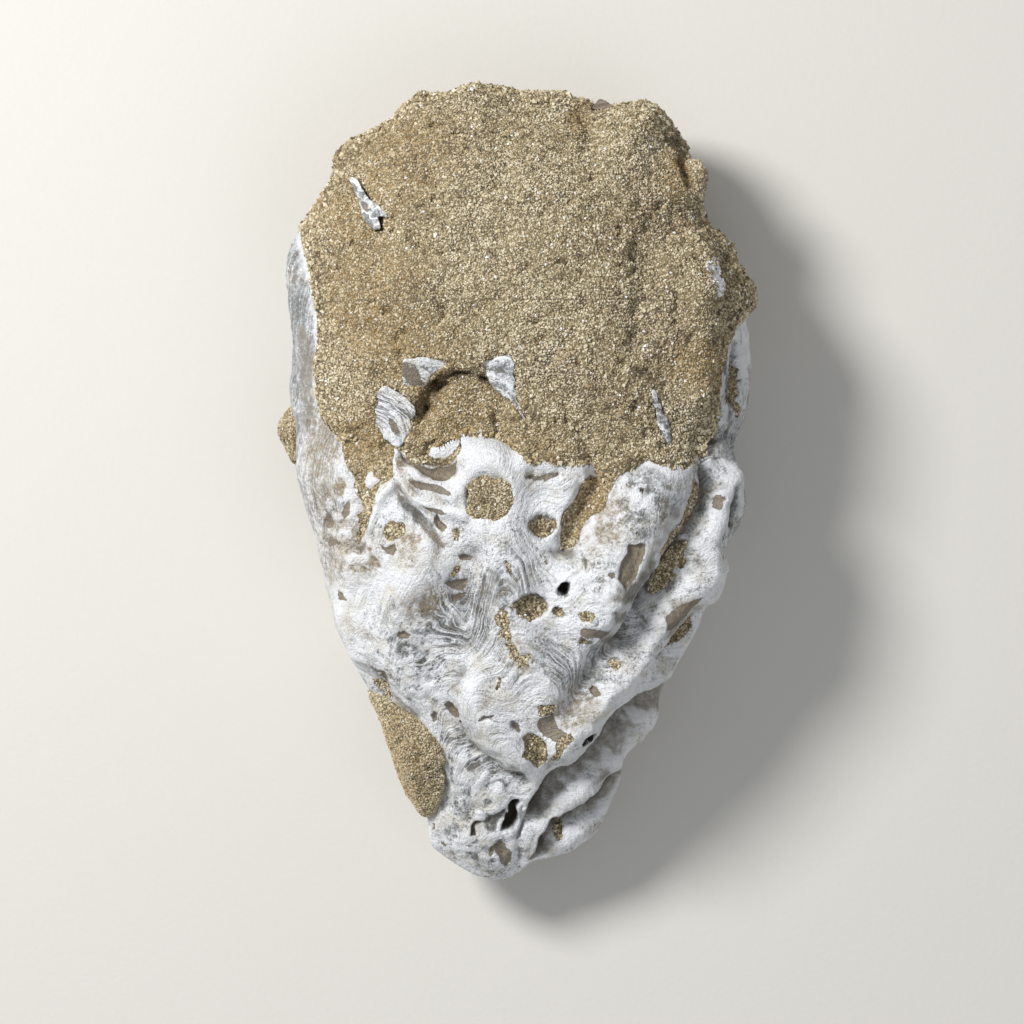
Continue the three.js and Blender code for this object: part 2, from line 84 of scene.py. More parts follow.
SHELL_RIBS = (
    Ridge(((36.1, -0.8), (32.1, -5.7), (27.6, -12.5), (22.6, -20.6), (19.5, -27.3)), 8.0, 3.6, 2.8),
    Ridge(((20.4, -25.1), (16.8, -35.4), (10.9, -45.3), (8.2, -49.4)), 4.5, 1.4, 2.0),
    Ridge(((-6.7, 5.8), (-4.8, -3.9), (-2.8, -15.2), (-0.8, -26.4), (3.3, -39.9), (6.6, -47.8)),
        6.5, 2.5, 2.0),
    Ridge(((1.6, 3.9), (4.6, 3.2), (8, 3), (13.2, 4.4), (16.8, 3.3)), 1.9, 2.0, 2.0),
    Ridge(((-18.6, 5.9), (-15.9, 6.1), (-13.4, 7.1), (-11.1, 8.4)), 0.8, 1.8, 2.0),
    Ridge(((-8, 4.6), (-4.2, 3.7)), 4.6, 2.0, 2.0),
    Ridge(((-26.2, 6), (-26.3, 3), (-22.6, -3.3), (-18.8, -5.4), (-11.8, -7.1)), 1.3, 1.5, 1.6),
    Ridge(((-26.6, 0.4), (-29.4, -3.9), (-31.6, -9.3), (-33.4, -13.4)), 0.7, 1.1, 1.6),
    Ridge(((-25.1, 4.6), (-19.2, 0.1), (-13.6, -3.3)), 1.6, 1.5, 1.6),
    Ridge(((-35.9, -17.4), (-37.2, -29.1), (-34.5, -37.7)), 4.0, 2.0, 2.0),
    Ridge(((-20.6, -17.4), (-23.3, -26.4), (-26, -35.4), (-24.2, -44.4)), 5.0, 2.5, 2.0),
    Ridge(((-10.2, -46.7), (-5.7, -53.9), (1, -61.3)), 5.0, 3.0, 2.0),
    Ridge(((-10.2, -80), (-3.9, -84.9)), 4.0, 2.0, 2.0),
    Ridge(((46.5, 0.6), (42.9, -10.7), (39.3, -20.8), (31.4, -32.1), (24.6, -41.1), (17.2, -49.4),
        (10.5, -57.9)), 3.6, 4.5, 2.0),
    Ridge(((41.5, -17.4), (40.6, -27.6), (35.2, -37.7), (30.7, -45.8)), 3.0, 2.5, 2.0),
    Ridge(((49.4, 1.7), (49.8, -6.6)), 2.6, 1.5, 2.0),
    Ridge(((31.4, -50.5), (28, -53.9), (24, -59.3), (20.1, -63.3), (16.3, -67.8), (11.1, -72.3),
        (6.9, -76.8)), 3.0, 3.0, 2.0),
    Ridge(((21.9, -58.4), (22.2, -63.8)), 1.8, 1.8, 2.0),
    Ridge(((19.9, -72.8), (16.3, -77.3), (10, -82.7)), 2.8, 2.5, 2.0),
)
SHELL_GROOVES = (
    Ridge(((44.7, 10.2), (40.8, 4.6), (39, -3.9), (35.7, -12.9), (31.8, -20.1), (28.5, -26)),
        2.4, -3.0, 1.3),
    Ridge(((28, -26.4), (23.5, -32.3), (19, -37.7), (14.7, -44.4), (10.7, -49.4)), 3.6, -2.4, 2.0),
    Ridge(((39.3, -27.8), (35.4, -32.7), (31.6, -37.7)), 1.8, -2.5, 1.4),
    Ridge(((-10.2, -17.4), (-11.1, -26.4), (-11.1, -35.4)), 4.2, -3.0, 1.6),
    Ridge(((5.1, -3.9), (5.7, -17.4), (5.7, -24.2)), 4.0, -1.5, 2.0),
    Ridge(((-12, -42.6), (-13.2, -51.6), (-8.4, -60.2), (0.6, -66)), 2.4, -2.2, 1.4),
    Ridge(((18.3, 1), (14.1, -7.3), (10.7, -15.6)), 2.8, -3.8, 2.2),
    Ridge(((-35, 1), (-34.6, -8), (-35, -14.1)), 2.0, -1.8, 2.0),
    Ridge(((-30.6, -8.7), (-34.4, -15.6)), 0.4, -0.8, 2.0),
    Ridge(((46.5, -2.1), (46, -9.1)), 0.6, -1.4, 1.4),
    Ridge(((-25.5, -2.1), (-21.5, -8), (-16.3, -14.7)), 1.4, -1.0, 1.4),
    Ridge(((-24.5, 5), (-21, 3.4), (-17, 2.6), (-13.6, 2.8)), 1.9, -2.0, 2.6),
    Ridge(((14.1, -15.9), (15.4, -19.5)), 0.5, -0.8, 1.4),
    Ridge(((-31, -49), (-25.1, -57.5), (-21, -68.1)), 5.4, -2.5, 4.0),
    Ridge(((49.8, 30.9), (48.9, 18.6)), 1.6, -2.0, 1.6),
    Ridge(((27.1, -27.6), (28.7, -30.9)), 0.5, -0.8, 1.4),
    Ridge(((2.4, 1), (6.2, 1.7), (9.8, 1.5)), 0.6, -1.0, 2.0),
)
SHELL_STEPS = (
    Step(((21.7, -33.2), (28, -24.6), (32.3, -17.9), (36.3, -11.1), (39.5, -4.4), (40.8, 1.9)),
        1.8, 3.4, 6.0),
    Step(((2.6, -73.2), (3.5, -71.2), (7.8, -64.5), (13.4, -61.8), (16.8, -57.7), (20.6, -52.3),
        (24, -48.5), (29.1, -45.3), (33.4, -42.6)), 1.3, 7.0, 8.0),
    Step(((3.9, -84.5), (6.4, -78.6), (11.6, -74.4), (17.2, -70.8), (20.6, -68.7), (23.3, -63.3)),
        1.3, 5.0, 6.5),
)
SHELL_PITS = (
    Pit(Spot(6, -9.8, 3.4, 2.8, 0), 1.9),
    Pit(Spot(3.5, -27.3, 3.8, 2.7, -12), 1.9),
    Pit(Spot(10.7, -23.7, 1.5, 1.8, -15), 5),
    Pit(Spot(9.4, -28.9, 1.4, 1.3, 0), 1.2),
    Pit(Spot(14.6, -34.4, 1.1, 1.1, 0), 0.5),
    Pit(Spot(20.8, -19.6, 0.8, 0.8, 0), 0.4),
    Pit(Spot(15.2, -28.9, 1.5, 1.3, 0), 0.3),
    Pit(Spot(21.7, -39.7, 1.3, 1.2, 0), 0.42),
    Pit(Spot(17.2, -45.8, 0.9, 0.8, 0), 0.78),
    Pit(Spot(15.4, -56, 2.0, 1.0, 33), 2.6),
    Pit(Spot(0.1, -53.9, 0.7, 1.7, 20), 0.9),
    Pit(Spot(-1.7, -18.1, 1.0, 1.8, 25), 0.54),
    Pit(Spot(-41.5, -8.9, 1.1, 1.6, 20), 0.6),
    Pit(Spot(-17.9, -52.1, 0.8, 0.8, 0), 0.48),
    Pit(Spot(-6.2, -51.4, 1.6, 0.6, 20), 0.54),
    Pit(Spot(43.1, -4.6, 0.9, 1.3, 0), 0.54),
    Pit(Spot(46.2, -9.1, 0.45, 0.45, 0), 0.54),
)
CENTRE_HOLLOW = Spot(-5.7, -3.3, 5.4, 5.4, 0)
GROOVE_HOLLOW = Spot(34.1, -19.5, 7.4, 3.4, 57)
BUTTON = Spot(36.9, -21.5, 1.3, 1.3, 0)
CENTRE_OUTLINE = ((-10.5, -2.8), (-10.9, -5.7), (-9.6, -8.2), (-7.1, -9.1), (-4.2, -9.3), (-1.7, -8.4),
                  (-0.1, -6.2), (-0.8, -3.3), (-0.6, -0.3), (-1.5, 1.7), (-3.5, 1.5), (-6.2, 1.9),
                  (-8.9, 1.5), (-10.7, 0.1))
CENTRE_DEPTH = 1.8
GROOVE_DEPTH = 1.5
SHELL_SQUARENESS = 2.4
SHELL_FLAT_SHARE = 0.55
SHELL_FLOOR = 0.0
SHELL_HIDDEN_STRETCH = 1.9
ROUND_PIT_DEPTH = 1.8
PATCH_EDGE = 0.6                 # half the width of the fade round a patch
PATCH_WALL = (-0.6, 0.2)         # how far from its edge its wall starts and ends
PATCH_REACH = 2.0                # how far round a patch its edge can wander
BURIED_DROP = 2.5                # how far the shell drops where the sandstone covers it

# Areas that are filled, stained, bare or painted with shade, how deep each lies below the shell round it,
# and bright edges.
SHELL_PATCHES = (
    Patch("sand", ((16.3, 1.9), (15.2, 0.3), (14.3, -1), (13, -3.7), (10.9, -6), (9.9, -8.7),
        (10.1, -12.3), (9.7, -15.2), (10.5, -15.9), (11.8, -15.4), (13.2, -14.5), (14.2, -12.3),
        (14.7, -10.2), (16.3, -7.8), (19.7, -6), (20.6, -2.4), (22.2, 0.6), (24, 2.4)), 0.3),
    Patch("sand", ((-38.4, 8.7), (-37.7, 4.6), (-36.8, 2.6), (-36, 1), (-36.1, -0.8), (-35.7, -2.6),
        (-34.8, -4.2), (-34.4, -5.9), (-35.4, -7.5), (-35.4, -10), (-36, -12.5), (-35.4, -14.1),
        (-34.4, -12.3), (-33.6, -10.5), (-32.6, -8.4), (-31.8, -6.4), (-31.1, -4.3), (-30.7, -2.5),
        (-29.6, -0.7), (-28.2, 0.1), (-26.7, 1.1), (-26.5, 3.7), (-26.4, 6.2), (-26.9, 8.2)), 0.3),
    Patch("sand", ((-29, -9.8), (-27.8, -8.4), (-26.2, -8.9), (-24.9, -8.7), (-24.2, -9.8),
        (-24.5, -11.6), (-26, -12.5), (-27.8, -13.1), (-29, -12.5)), 0.3),
    Patch("sand", ((-14, -10.5), (-12.7, -10), (-12.2, -11.1), (-12.6, -12.9), (-13.6, -12.7)), 0.3),
    Patch("sand", ((-18.6, 5.3), (-15.6, 5.2), (-13.2, 6.4), (-11.8, 7.3), (-11.8, 5.7), (-13.4, 4.4),
        (-17, 4.4), (-19, 4.6)), 0.2),
    Patch("sand", ((-14.9, -20.8), (-13.8, -19.2), (-12.3, -18.7), (-12.8, -20.3), (-13.8, -21.3)), 0.3),
    Patch("sand", ((1.4, -55.7), (2.6, -55.2), (3.9, -55.4), (6.6, -56.9), (6.9, -59.1), (6.6, -61.5),
        (4.6, -62.9), (3, -60.9), (1.4, -59.5), (2, -57.6)), 1),
    Patch("sand", ((4.6, -48.5), (5.5, -47.9), (8.2, -48.3), (8.1, -50.3), (5.1, -51)), 0),
    Patch("sand", ((9.3, -55), (11.4, -53.7), (11.6, -55), (10, -57.5), (9.1, -60.2), (7.3, -61.8),
        (7.4, -60.6), (8.4, -58.4), (8.4, -56.4)), 0.4),
    Patch("sand", ((37.8, 0.8), (39.5, 0.6), (40.5, -1), (40.5, -4.6), (39.4, -8), (37.2, -11.1),
        (36.1, -9.1), (37.2, -4.6)), 0.5),
    Patch("sand", ((38.6, -28.9), (38.1, -31.8), (35, -35), (32.7, -36.6), (32.3, -35), (35, -31.6),
        (37, -29.1)), 0.5),
    Patch("sand", ((37, -8.4), (35.2, -9.7), (33, -12.4), (31.2, -15.5), (32.3, -16.6), (34.3, -14.6),
        (36.6, -12.2), (38.6, -9.5)), 0),
    Patch("sand", ((-24.6, 6.7), (-23.8, 5.4), (-22.4, 4.5), (-20.1, 4.1), (-17.6, 4.1), (-15.1, 4.1),
        (-13.2, 4.5), (-12.2, 5.6), (-11.4, 6.8), (-12.2, 7.2), (-14.3, 5.9), (-16.3, 5.2), (-18, 5.3),
        (-19.3, 5.9), (-20.9, 6.4), (-23, 7)), 0.3),
    Patch("bare", ((-18.3, 6.2), (-15.9, 6.6), (-13.8, 8.1), (-11.8, 9.4), (-9.3, 10), (-9.3, 8.5),
        (-10.8, 8), (-11.8, 7.2), (-13.5, 6), (-15.5, 5.3), (-17.8, 5.1)), -0.5),
    Patch("bare", ((-34.3, 0.3), (-33.2, 1), (-31.6, 2.8), (-31.2, 1), (-29.6, 0.6), (-30.7, -0.6),
        (-32.3, -1.6), (-33.6, -1)), -0.5),
    Patch("tan", ((-40.4, -0.8), (-39.5, 1.2), (-37.9, 1.2), (-37.2, -0.3), (-37.9, -2.6), (-39.3, -3.3),
        (-40.2, -2.4)), 0.3),
    Patch("brown", ((-38.1, -5.5), (-37.5, -4.2), (-36.6, -5.1), (-36.8, -6.9), (-37.9, -8.4),
        (-38.6, -7.3)), 0.4),
    Patch("brown", ((-25.7, 6.7), (-24.2, 5.5), (-22.2, 4.4), (-18.6, 3.9), (-13.4, 4.2), (-12.5, 4.4),
        (-13.4, 2.4), (-14.6, 0.8), (-16.2, 0.3), (-18, 0.4), (-19.2, 1.3), (-22.1, 2.9), (-23.9, 4.4),
        (-25.2, 5.7)), 1.0),
    Patch("brown", ((-23.1, 0), (-20, -0.2), (-16.2, -1.2), (-13.4, -3), (-14.9, -3.3), (-18.8, -2),
        (-21.8, -1.5)), 0.5),
    Patch("brown", ((-18.2, -8.2), (-17.2, -6.9), (-16.7, -8.4), (-14.9, -9.7), (-15.6, -11),
        (-16.7, -10.8), (-18, -9.2)), 1),
    Patch("brown", ((-21.1, -4.7), (-18.5, -5.5), (-15.9, -6.4), (-14.9, -7), (-16.1, -7.4),
        (-18.6, -6.4)), 0.4),
    Patch("brown", ((-29.9, -13.8), (-28.5, -14.4), (-26.7, -13.3), (-26, -14.9), (-26.7, -16.2),
        (-28.3, -15.8), (-29.6, -14.9)), 0.7),
    Patch("tan", ((-36, -19.5), (-35.7, -17.7), (-34.4, -16.2), (-33.2, -14.4), (-31.6, -14.1),
        (-31.1, -15.9), (-29.8, -17.4), (-29.8, -18.7), (-31.9, -19.8), (-33.9, -19.8)), 0.3),
    Patch("brown", ((-12.8, -16.4), (-11.6, -15.9), (-10.3, -16.7), (-9.2, -16.9), (-10.3, -17.7),
        (-11.6, -17.7), (-12.6, -17.2)), 0.6),
    Patch("brown", ((-15.9, -22.3), (-10.3, -21.8), (-11.3, -23.9), (-12.8, -24.4), (-14.6, -23.6)),
        0.3),
    Patch("brown", ((-14.7, -25.3), (-11.1, -24.9), (-12, -26.7), (-13.6, -26.9)), 0.2),
    Patch("brown", ((-38.1, -23.5), (-36.8, -24.2), (-35.7, -25.8), (-37.7, -25.8)), 0.4),
    Patch("brown", ((24, -12.9), (27.6, -13.4), (27.3, -16.8), (25.8, -20.6), (23.5, -22.8),
        (21.8, -20.8), (22.4, -17.9)), 0.9),
    Patch("brown", ((2.4, 1.5), (5.5, 1.2), (9.3, 2.4), (9.8, 1.6), (6.6, 0.3), (3.3, 0.5)), 0.7),
    Patch("brown", ((5, -51.1), (7.9, -50.4), (9.2, -53.4), (11.5, -54.3), (8.5, -56), (5.9, -55.6),
        (4.6, -53.4)), 0.4),
    Patch("brown", ((14, -31.8), (16.1, -31.3), (18.6, -31.4), (19.9, -32.3), (18.3, -33.4),
        (15.6, -33.8), (14.2, -33.2)), 0.25),
    # Painted shadow: this brown patch stands in for the shadow under the rib's ledge.
    Patch("brown", ((31.7, -31.6), (31.7, -28.9), (35, -26.1), (38.4, -24), (36.1, -28.4), (32.8, -31.6)),
        0.2),
    Patch("brown", ((-15.9, -49.2), (-15, -48.6), (-13.8, -49.8), (-12.7, -51.6), (-12.9, -53),
        (-14.3, -52.1), (-15.4, -50.5)), 0.6),
    Patch("brown", ((-30, -41.5), (-28.7, -41.1), (-27.8, -42.6), (-28.2, -44.4), (-29.6, -44.7)), 0.4),
    Patch("brown", ((-25.3, -33.1), (-24.2, -32.3), (-22.8, -33.2), (-23.3, -34.1), (-24.9, -33.9)),
        0.8),
    Patch("grey", ((-6.6, -74.1), (-4.8, -74.6), (-3, -73.7), (-1.5, -72.3), (-2.6, -75.5), (-4.6, -78),
        (-6.2, -78.2), (-7.1, -77.3)), 0.9),
    # The deep patches are painted shade: they take the dark colour of the shadow in a hole.
    Patch("deep", ((-1, -71.4), (0.6, -71), (1, -71.7), (0.1, -72.8), (0.6, -75), (-0.3, -77.5),
        (-1.5, -78), (-3.3, -78.2), (-2.6, -75.5), (-1.7, -74.1), (-1.7, -72.3)), 3.4),
    Patch("brown", ((-6.2, -82), (-3.7, -80), (-2.1, -81.8), (-1, -82.9), (-1.2, -84.9), (-2.6, -86.6),
        (-3.3, -84.9), (-3.7, -83.4), (-4.8, -82), (-5.7, -83.4)), 0.6),
    Patch("deep", ((-10, -76.6), (-9.3, -75.7), (-7.8, -75.7), (-7.8, -76.4), (-8.9, -76.7), (-9, -78.4),
        (-10, -78.5)), 0.7),
    Patch("grey", ((1, -72.8), (3, -71.7), (3.3, -72.2), (1.8, -73), (1.7, -73.9), (3.1, -73.5),
        (3.3, -74), (1.6, -75.5), (1.7, -76.8), (1.2, -80), (-0.1, -79.8), (0.8, -76.8), (0.8, -74.1)),
        0.8),
    Patch("grey", ((-26.2, -2.5), (-24.6, -3.3), (-21.6, -5.9), (-18.5, -9), (-15.9, -13.6),
        (-15.5, -15.1), (-17, -14.4), (-20, -11), (-22.6, -8.4), (-25.2, -5.4)), 0.25),
    Patch("grey", ((-25.1, -26.4), (-23.3, -24.2), (-21.5, -22.6), (-19.7, -25.1), (-17, -29.1),
        (-14.3, -32.7), (-11.8, -34.1), (-11.1, -35.9), (-13.6, -35.4), (-17, -33.2), (-20.4, -29.8),
        (-23.3, -27.8)), 0),
    Patch("grey", ((-7.1, -20.1), (-5.3, -18.8), (-3.5, -19.7), (-1.9, -23.1), (-1.7, -26.4), (-3.5, -28),
        (-4.6, -25.3), (-6.2, -26.4), (-8.4, -29.8), (-10.2, -32.1), (-8.9, -26.4)), 0),
    Patch("grey", ((-11.1, -62.9), (-10.2, -61.5), (-8.4, -61.1), (-7.3, -62.4), (-7.8, -64.2),
        (-9.3, -65.1), (-10.7, -64.7)), 0.3),
    Patch("grey", ((-7.1, -67.6), (-6, -67.3), (-5.5, -68.1), (-6.6, -69), (-7.2, -68.4)), 0.3),
    Patch("grey", ((-7.1, -71.4), (-5.3, -70.8), (-5.1, -71.7), (-6, -72.8), (-6.9, -72.7)), 0.3),
    Patch("grey", ((-10.7, -73), (-8.2, -72.8), (-8.2, -73.8), (-10.2, -74)), 0.3),
    Patch("grey", ((-15.2, -60.6), (-14.1, -61.8), (-13.4, -65.8), (-14.3, -67.4), (-15.1, -66.3)), 0.3),
    Patch("grey", ((-16.8, -55.5), (-15.6, -55), (-14.5, -56.1), (-14.3, -57.7), (-15.4, -59.1),
        (-16.8, -58.2)), 0.2),
    Patch("white", ((-13.8, -60.9), (-11.6, -60), (-10.9, -61.5), (-11.4, -63.8), (-10.2, -65.1),
        (-9.3, -66.5), (-9.8, -67.6), (-11.6, -67.6), (-13.2, -65.4), (-13.8, -63.6)), 0),
    Patch("white", ((-8.2, -65.8), (-6.6, -65.1), (-4.8, -66.3), (-3, -67.8), (-1.5, -69.9), (0.1, -70.5),
        (3.3, -70.1), (3.7, -71.2), (1, -71.2), (-1.2, -71.2), (-2.6, -72.8), (-3.9, -74.1),
        (-5.3, -73.5), (-4.6, -71.9), (-5.7, -70.5), (-6.6, -68.7), (-8.4, -67.4)), -0.3),
    Patch("white", ((-22.8, -53), (-20.4, -52.8), (-19.5, -54.3), (-20.6, -56.1), (-22.4, -55.7)), -0.2),
    Patch("white", ((-16.1, -68.1), (-13.4, -68.7), (-13.2, -70.5), (-14.7, -71.4), (-16.1, -70.8)),
        -0.2),
    Patch("white", ((-17.9, -54.6), (-15.6, -53.9), (-13.4, -55.7), (-13.2, -58.2), (-15.2, -60.4),
        (-17.7, -58.6)), 0),
    Patch("white", ((-40.8, -24.2), (-38.4, -26), (-36.8, -28.7), (-36.8, -33.2), (-35.4, -36.6),
        (-33.6, -41.1), (-34.1, -42.6), (-35.9, -41.7), (-38.4, -37.7), (-39.9, -32.1), (-41.1, -27.6)),
        0),
)
WHITE_STRIPS = (
    Strip(((-26.2, 7.1), (-26.3, 3.3), (-24.9, -0.6), (-22.6, -3.3), (-18.8, -5.4), (-15, -6),
        (-11.8, -7.1)), 0.8),
    Strip(((-18.6, 6.1), (-15.9, 6.2), (-13.4, 7.2), (-10.9, 8.8), (-9.4, 9.2)), 0.55),
    Strip(((-26.7, 0.3), (-29.4, -3.9), (-31.6, -9.3), (-33.6, -13.8)), 0.55),
    Strip(((-25.8, -23.7), (-21.5, -17.7), (-17.9, -21.9), (-15.4, -27.1), (-12, -32.7), (-10.7, -32.3),
        (-8, -26.9), (-6.2, -23.1)), 0.4),
    Strip(((-0.3, -33.6), (3.3, -38.8), (6.6, -44)), 0.8),
    Strip(((-25.3, 5.1), (-22.2, 2.4), (-19.2, 0.6), (-17, -0.3), (-14.3, 0.1), (-12.5, 2.6),
        (-11.6, 4.8)), 0.45),
    Strip(((-30.9, -15), (-30.4, -13.2), (-29.1, -12.3), (-28, -13.4), (-25.5, -12.9)), 0.35),
    Strip(((51, 37.7), (51.4, 30.9), (50.5, 24)), 0.9),
    Strip(((1.7, -55), (0.6, -57.5), (0.3, -60), (1.9, -61.8), (4.2, -63.8), (6.6, -62.9)), 0.5),
)

# Streaks of thin sand, and other places on the shell by what shows there.
SAND_STREAKS = (
    Strip(((-3, -29), (-2, -33), (-0.2, -36.5), (1.6, -39.4)), 1.2),
    Strip(((49.2, 26), (49.6, 21), (49.2, 15)), 0.9),
)
SAND_SPOTS = (
    Spot(6, -10, 3.1, 2.5, 0), Spot(3.2, -27.6, 3.3, 2.3, -12), Spot(9.4, -29, 1.2, 1.1, 0),
    Spot(15.2, -28.7, 1.5, 1.3, 0), Spot(-1.7, -18.1, 0.7, 1.7, 25), Spot(14.7, -34.4, 0.9, 0.8, 0),
    Spot(10.2, -80, 0.9, 1.8, -30), Spot(-30.7, -47.4, 1.6, 3.0, 20),
    Spot(21.6, -40, 0.9, 0.9, 0), Spot(-3.7, -44.4, 0.4, 1.2, -20),
)
BROWN_SPOTS = (
    Spot(43.1, -4.6, 0.8, 1.5, 0),
    Spot(-41.5, -8.9, 1.1, 1.6, 20), Spot(-40.5, -13.3, 0.8, 0.8, 0), Spot(20.8, -19.6, 0.7, 0.7, 0),
    Spot(17.2, -45.8, 0.8, 0.7, 0), Spot(0.4, -53.7, 0.6, 1.2, 10), Spot(-18.8, -78.2, 0.4, 1.8, 0),
    Spot(-16.3, -81.6, 0.6, 0.6, 0), Spot(-18.1, -52.1, 0.9, 0.9, 0), Spot(6.9, -17.9, 0.5, 0.5, 0),
    Spot(17.3, -45.6, 0.7, 0.9, 30), Spot(15.4, -34.9, 1.2, 0.5, 10), Spot(-6.1, -51.1, 1.6, 0.35, 20),
)
# Painted shade: the dark colour of the shadow inside the holes.
HOLE_SHADE_SPOTS = (
    Spot(15.4, -56, 1.9, 0.9, 33), Spot(10.7, -23.7, 1.2, 1.5, -15),
    Spot(-12.3, -53.6, 0.5, 0.4, 0), Spot(27.2, -1.8, 0.4, 0.4, 0), Spot(29.6, -1.6, 0.35, 0.35, 0),
    Spot(26, -10.6, 0.3, 0.3, 0), Spot(46.2, -9.1, 0.4, 0.4, 0),
)
# Painted shade: the dark colour of the shadow in the cracks.
CRACK_SHADE_STRIPS = (
    Strip(((46.7, -3.5), (46.1, -6.4), (45.7, -9.6)), 0.3),
    Strip(((26.5, -26.7), (27.2, -29), (28.6, -31)), 0.25),
    Strip(((46.9, 28), (47.3, 22), (47.5, 16.5), (47.1, 13.5)), 0.4),
    Strip(((41.5, 3.5), (43, 5.2), (44.6, 5.6)), 0.35),
    Strip(((14.1, -15.9), (15.2, -17.6), (15.4, -19.5)), 0.25),
)
# Painted shade: grey-brown bands where the ledges and the ribs' flanks lie in shadow.
SHADE_STRIPS = (
    Strip(((5.5, -72), (9.8, -66.2), (16.5, -61.2), (21, -56.7), (27, -50.5), (33, -46.7)), 3.4),
    Strip(((4.6, -83.5), (8.6, -77.6), (13.8, -73.4), (19.7, -70.4), (22.5, -66.5)), 2.8),
    Strip(((34.8, -8), (27.5, -21.3), (23.6, -26.8), (20.7, -34.6)), 2.2),
    Strip(((27, -15), (24.8, -20.5), (21.5, -25.5)), 1.6),
    Strip(((-47.8, 34), (-46.6, 24), (-46.4, 14)), 1.3),
    Strip(((35.5, -27), (32.2, -31.5)), 1.8),
)
# Grey calcite; the spot on the big rib's lower right flank is painted shade.
GREY_AND_SHADE_SPOTS = (
    Spot(-2.8, -24.6, 4.2, 6.5, 0), Spot(-11.1, -28.7, 8.0, 8.0, 0), Spot(9, -41, 3, 7, 15),
    Spot(-24.2, -35.4, 5.0, 7.0, 0), Spot(-5, -61.5, 6, 2.4, -40), Spot(-23, -27.5, 5.5, 3.6, 30),
    Spot(-0.8, -75.5, 3, 4, 0), Spot(13.4, -3.9, 3.0, 5.0, 30), Spot(-42.5, 4, 5, 13, 0),
    Spot(-48, 32, 4, 30, 0), Spot(29, -13, 5, 5, 0), Spot(31, -1, 8, 6, -30), Spot(33, -4, 3, 7, -20),
    Spot(26, -24, 5, 4, 40), Spot(50, 10, 4, 16, 0), Spot(46, -5, 5, 9, 15), Spot(-5, 7, 5.5, 3, 0),
    Spot(-6, -84, 5, 3, -40),
)
# Grey calcite; the first band, down the big rib's right flank and into the groove, is painted shade.
GREY_AND_SHADE_STRIPS = (
    Strip(((36.6, -3.9), (31.8, -14.1), (25.3, -24.6), (21.7, -33.2), (15.4, -43.5), (10, -48.5)), 3.0),
    Strip(((42.6, 7.3), (45.1, 10.5)), 2.5),
    Strip(((-17.9, -48.9), (-12, -59.1), (-3.5, -66)), 2.2),
)
WHITE_SPOTS = (
    Spot(-35.9, -32.1, 4.5, 10.5, 12), Spot(6.6, -1, 8.0, 4.5, 0), Spot(-3.5, -55.7, 8.0, 8.0, 0),
    Spot(-28.2, -21.9, 9.0, 6.0, 35), Spot(16.8, -51.2, 8.0, 4.0, 45), Spot(10, -48.9, 5.0, 6.0, 0),
    Spot(10.7, -23.7, 3.7, 4.0, 0), Spot(-12.5, -48, 8, 6, 0), Spot(-17, -15, 6, 4, -40),
    Spot(22, -60, 8, 3, 40),
)
SPECKLED_SPOTS = (
    Spot(-8.4, -71.4, 10, 15, 20), Spot(-24.9, -41.7, 11, 9, 0), Spot(19, -24.2, 6, 6, 0),
    Spot(-3.5, -82.7, 9, 5, 0), Spot(-37.2, -8.4, 8, 11, 0), Spot(25.5, -3.5, 3.6, 5, -30),
)
LINED_SPOTS = (
    Spot(-13.6, -33, 11, 13, 0), Spot(1, -41, 5, 9, 30), Spot(4.4, -18, 7, 8, 0), Spot(9, -2.8, 8, 4.4, 0),
    Spot(-10.2, -56, 12, 11, 0), Spot(11, -42, 4, 8, 20), Spot(24, -30, 6, 11, -40),
    Spot(10.7, -23.7, 4.6, 4.6, 0), Spot(-5.7, 5, 6, 4, 0), Spot(-43, 5, 5, 26, 0),
    Spot(-3, -63, 9, 4, -35), Spot(50, 8, 4, 14, 0), Spot(-20, -1, 7, 5, -35),
)
BROAD_TAN_SPOTS = (
    Spot(18.6, -11.1, 6.0, 4.0, 0), Spot(-36.8, -14.1, 6.0, 8.0, 0), Spot(-21.5, -14.1, 6.0, 4.0, 0),
    Spot(-20.4, -26.4, 5.0, 4.0, 30), Spot(-43, 8, 4, 18, 0), Spot(0.5, -37, 3, 5, 30),
    Spot(20.5, -7, 3, 6, -35), Spot(-24, 1.5, 6, 4, 0), Spot(12, -50, 6, 3, 40), Spot(36, -44, 4, 8, -40),
)

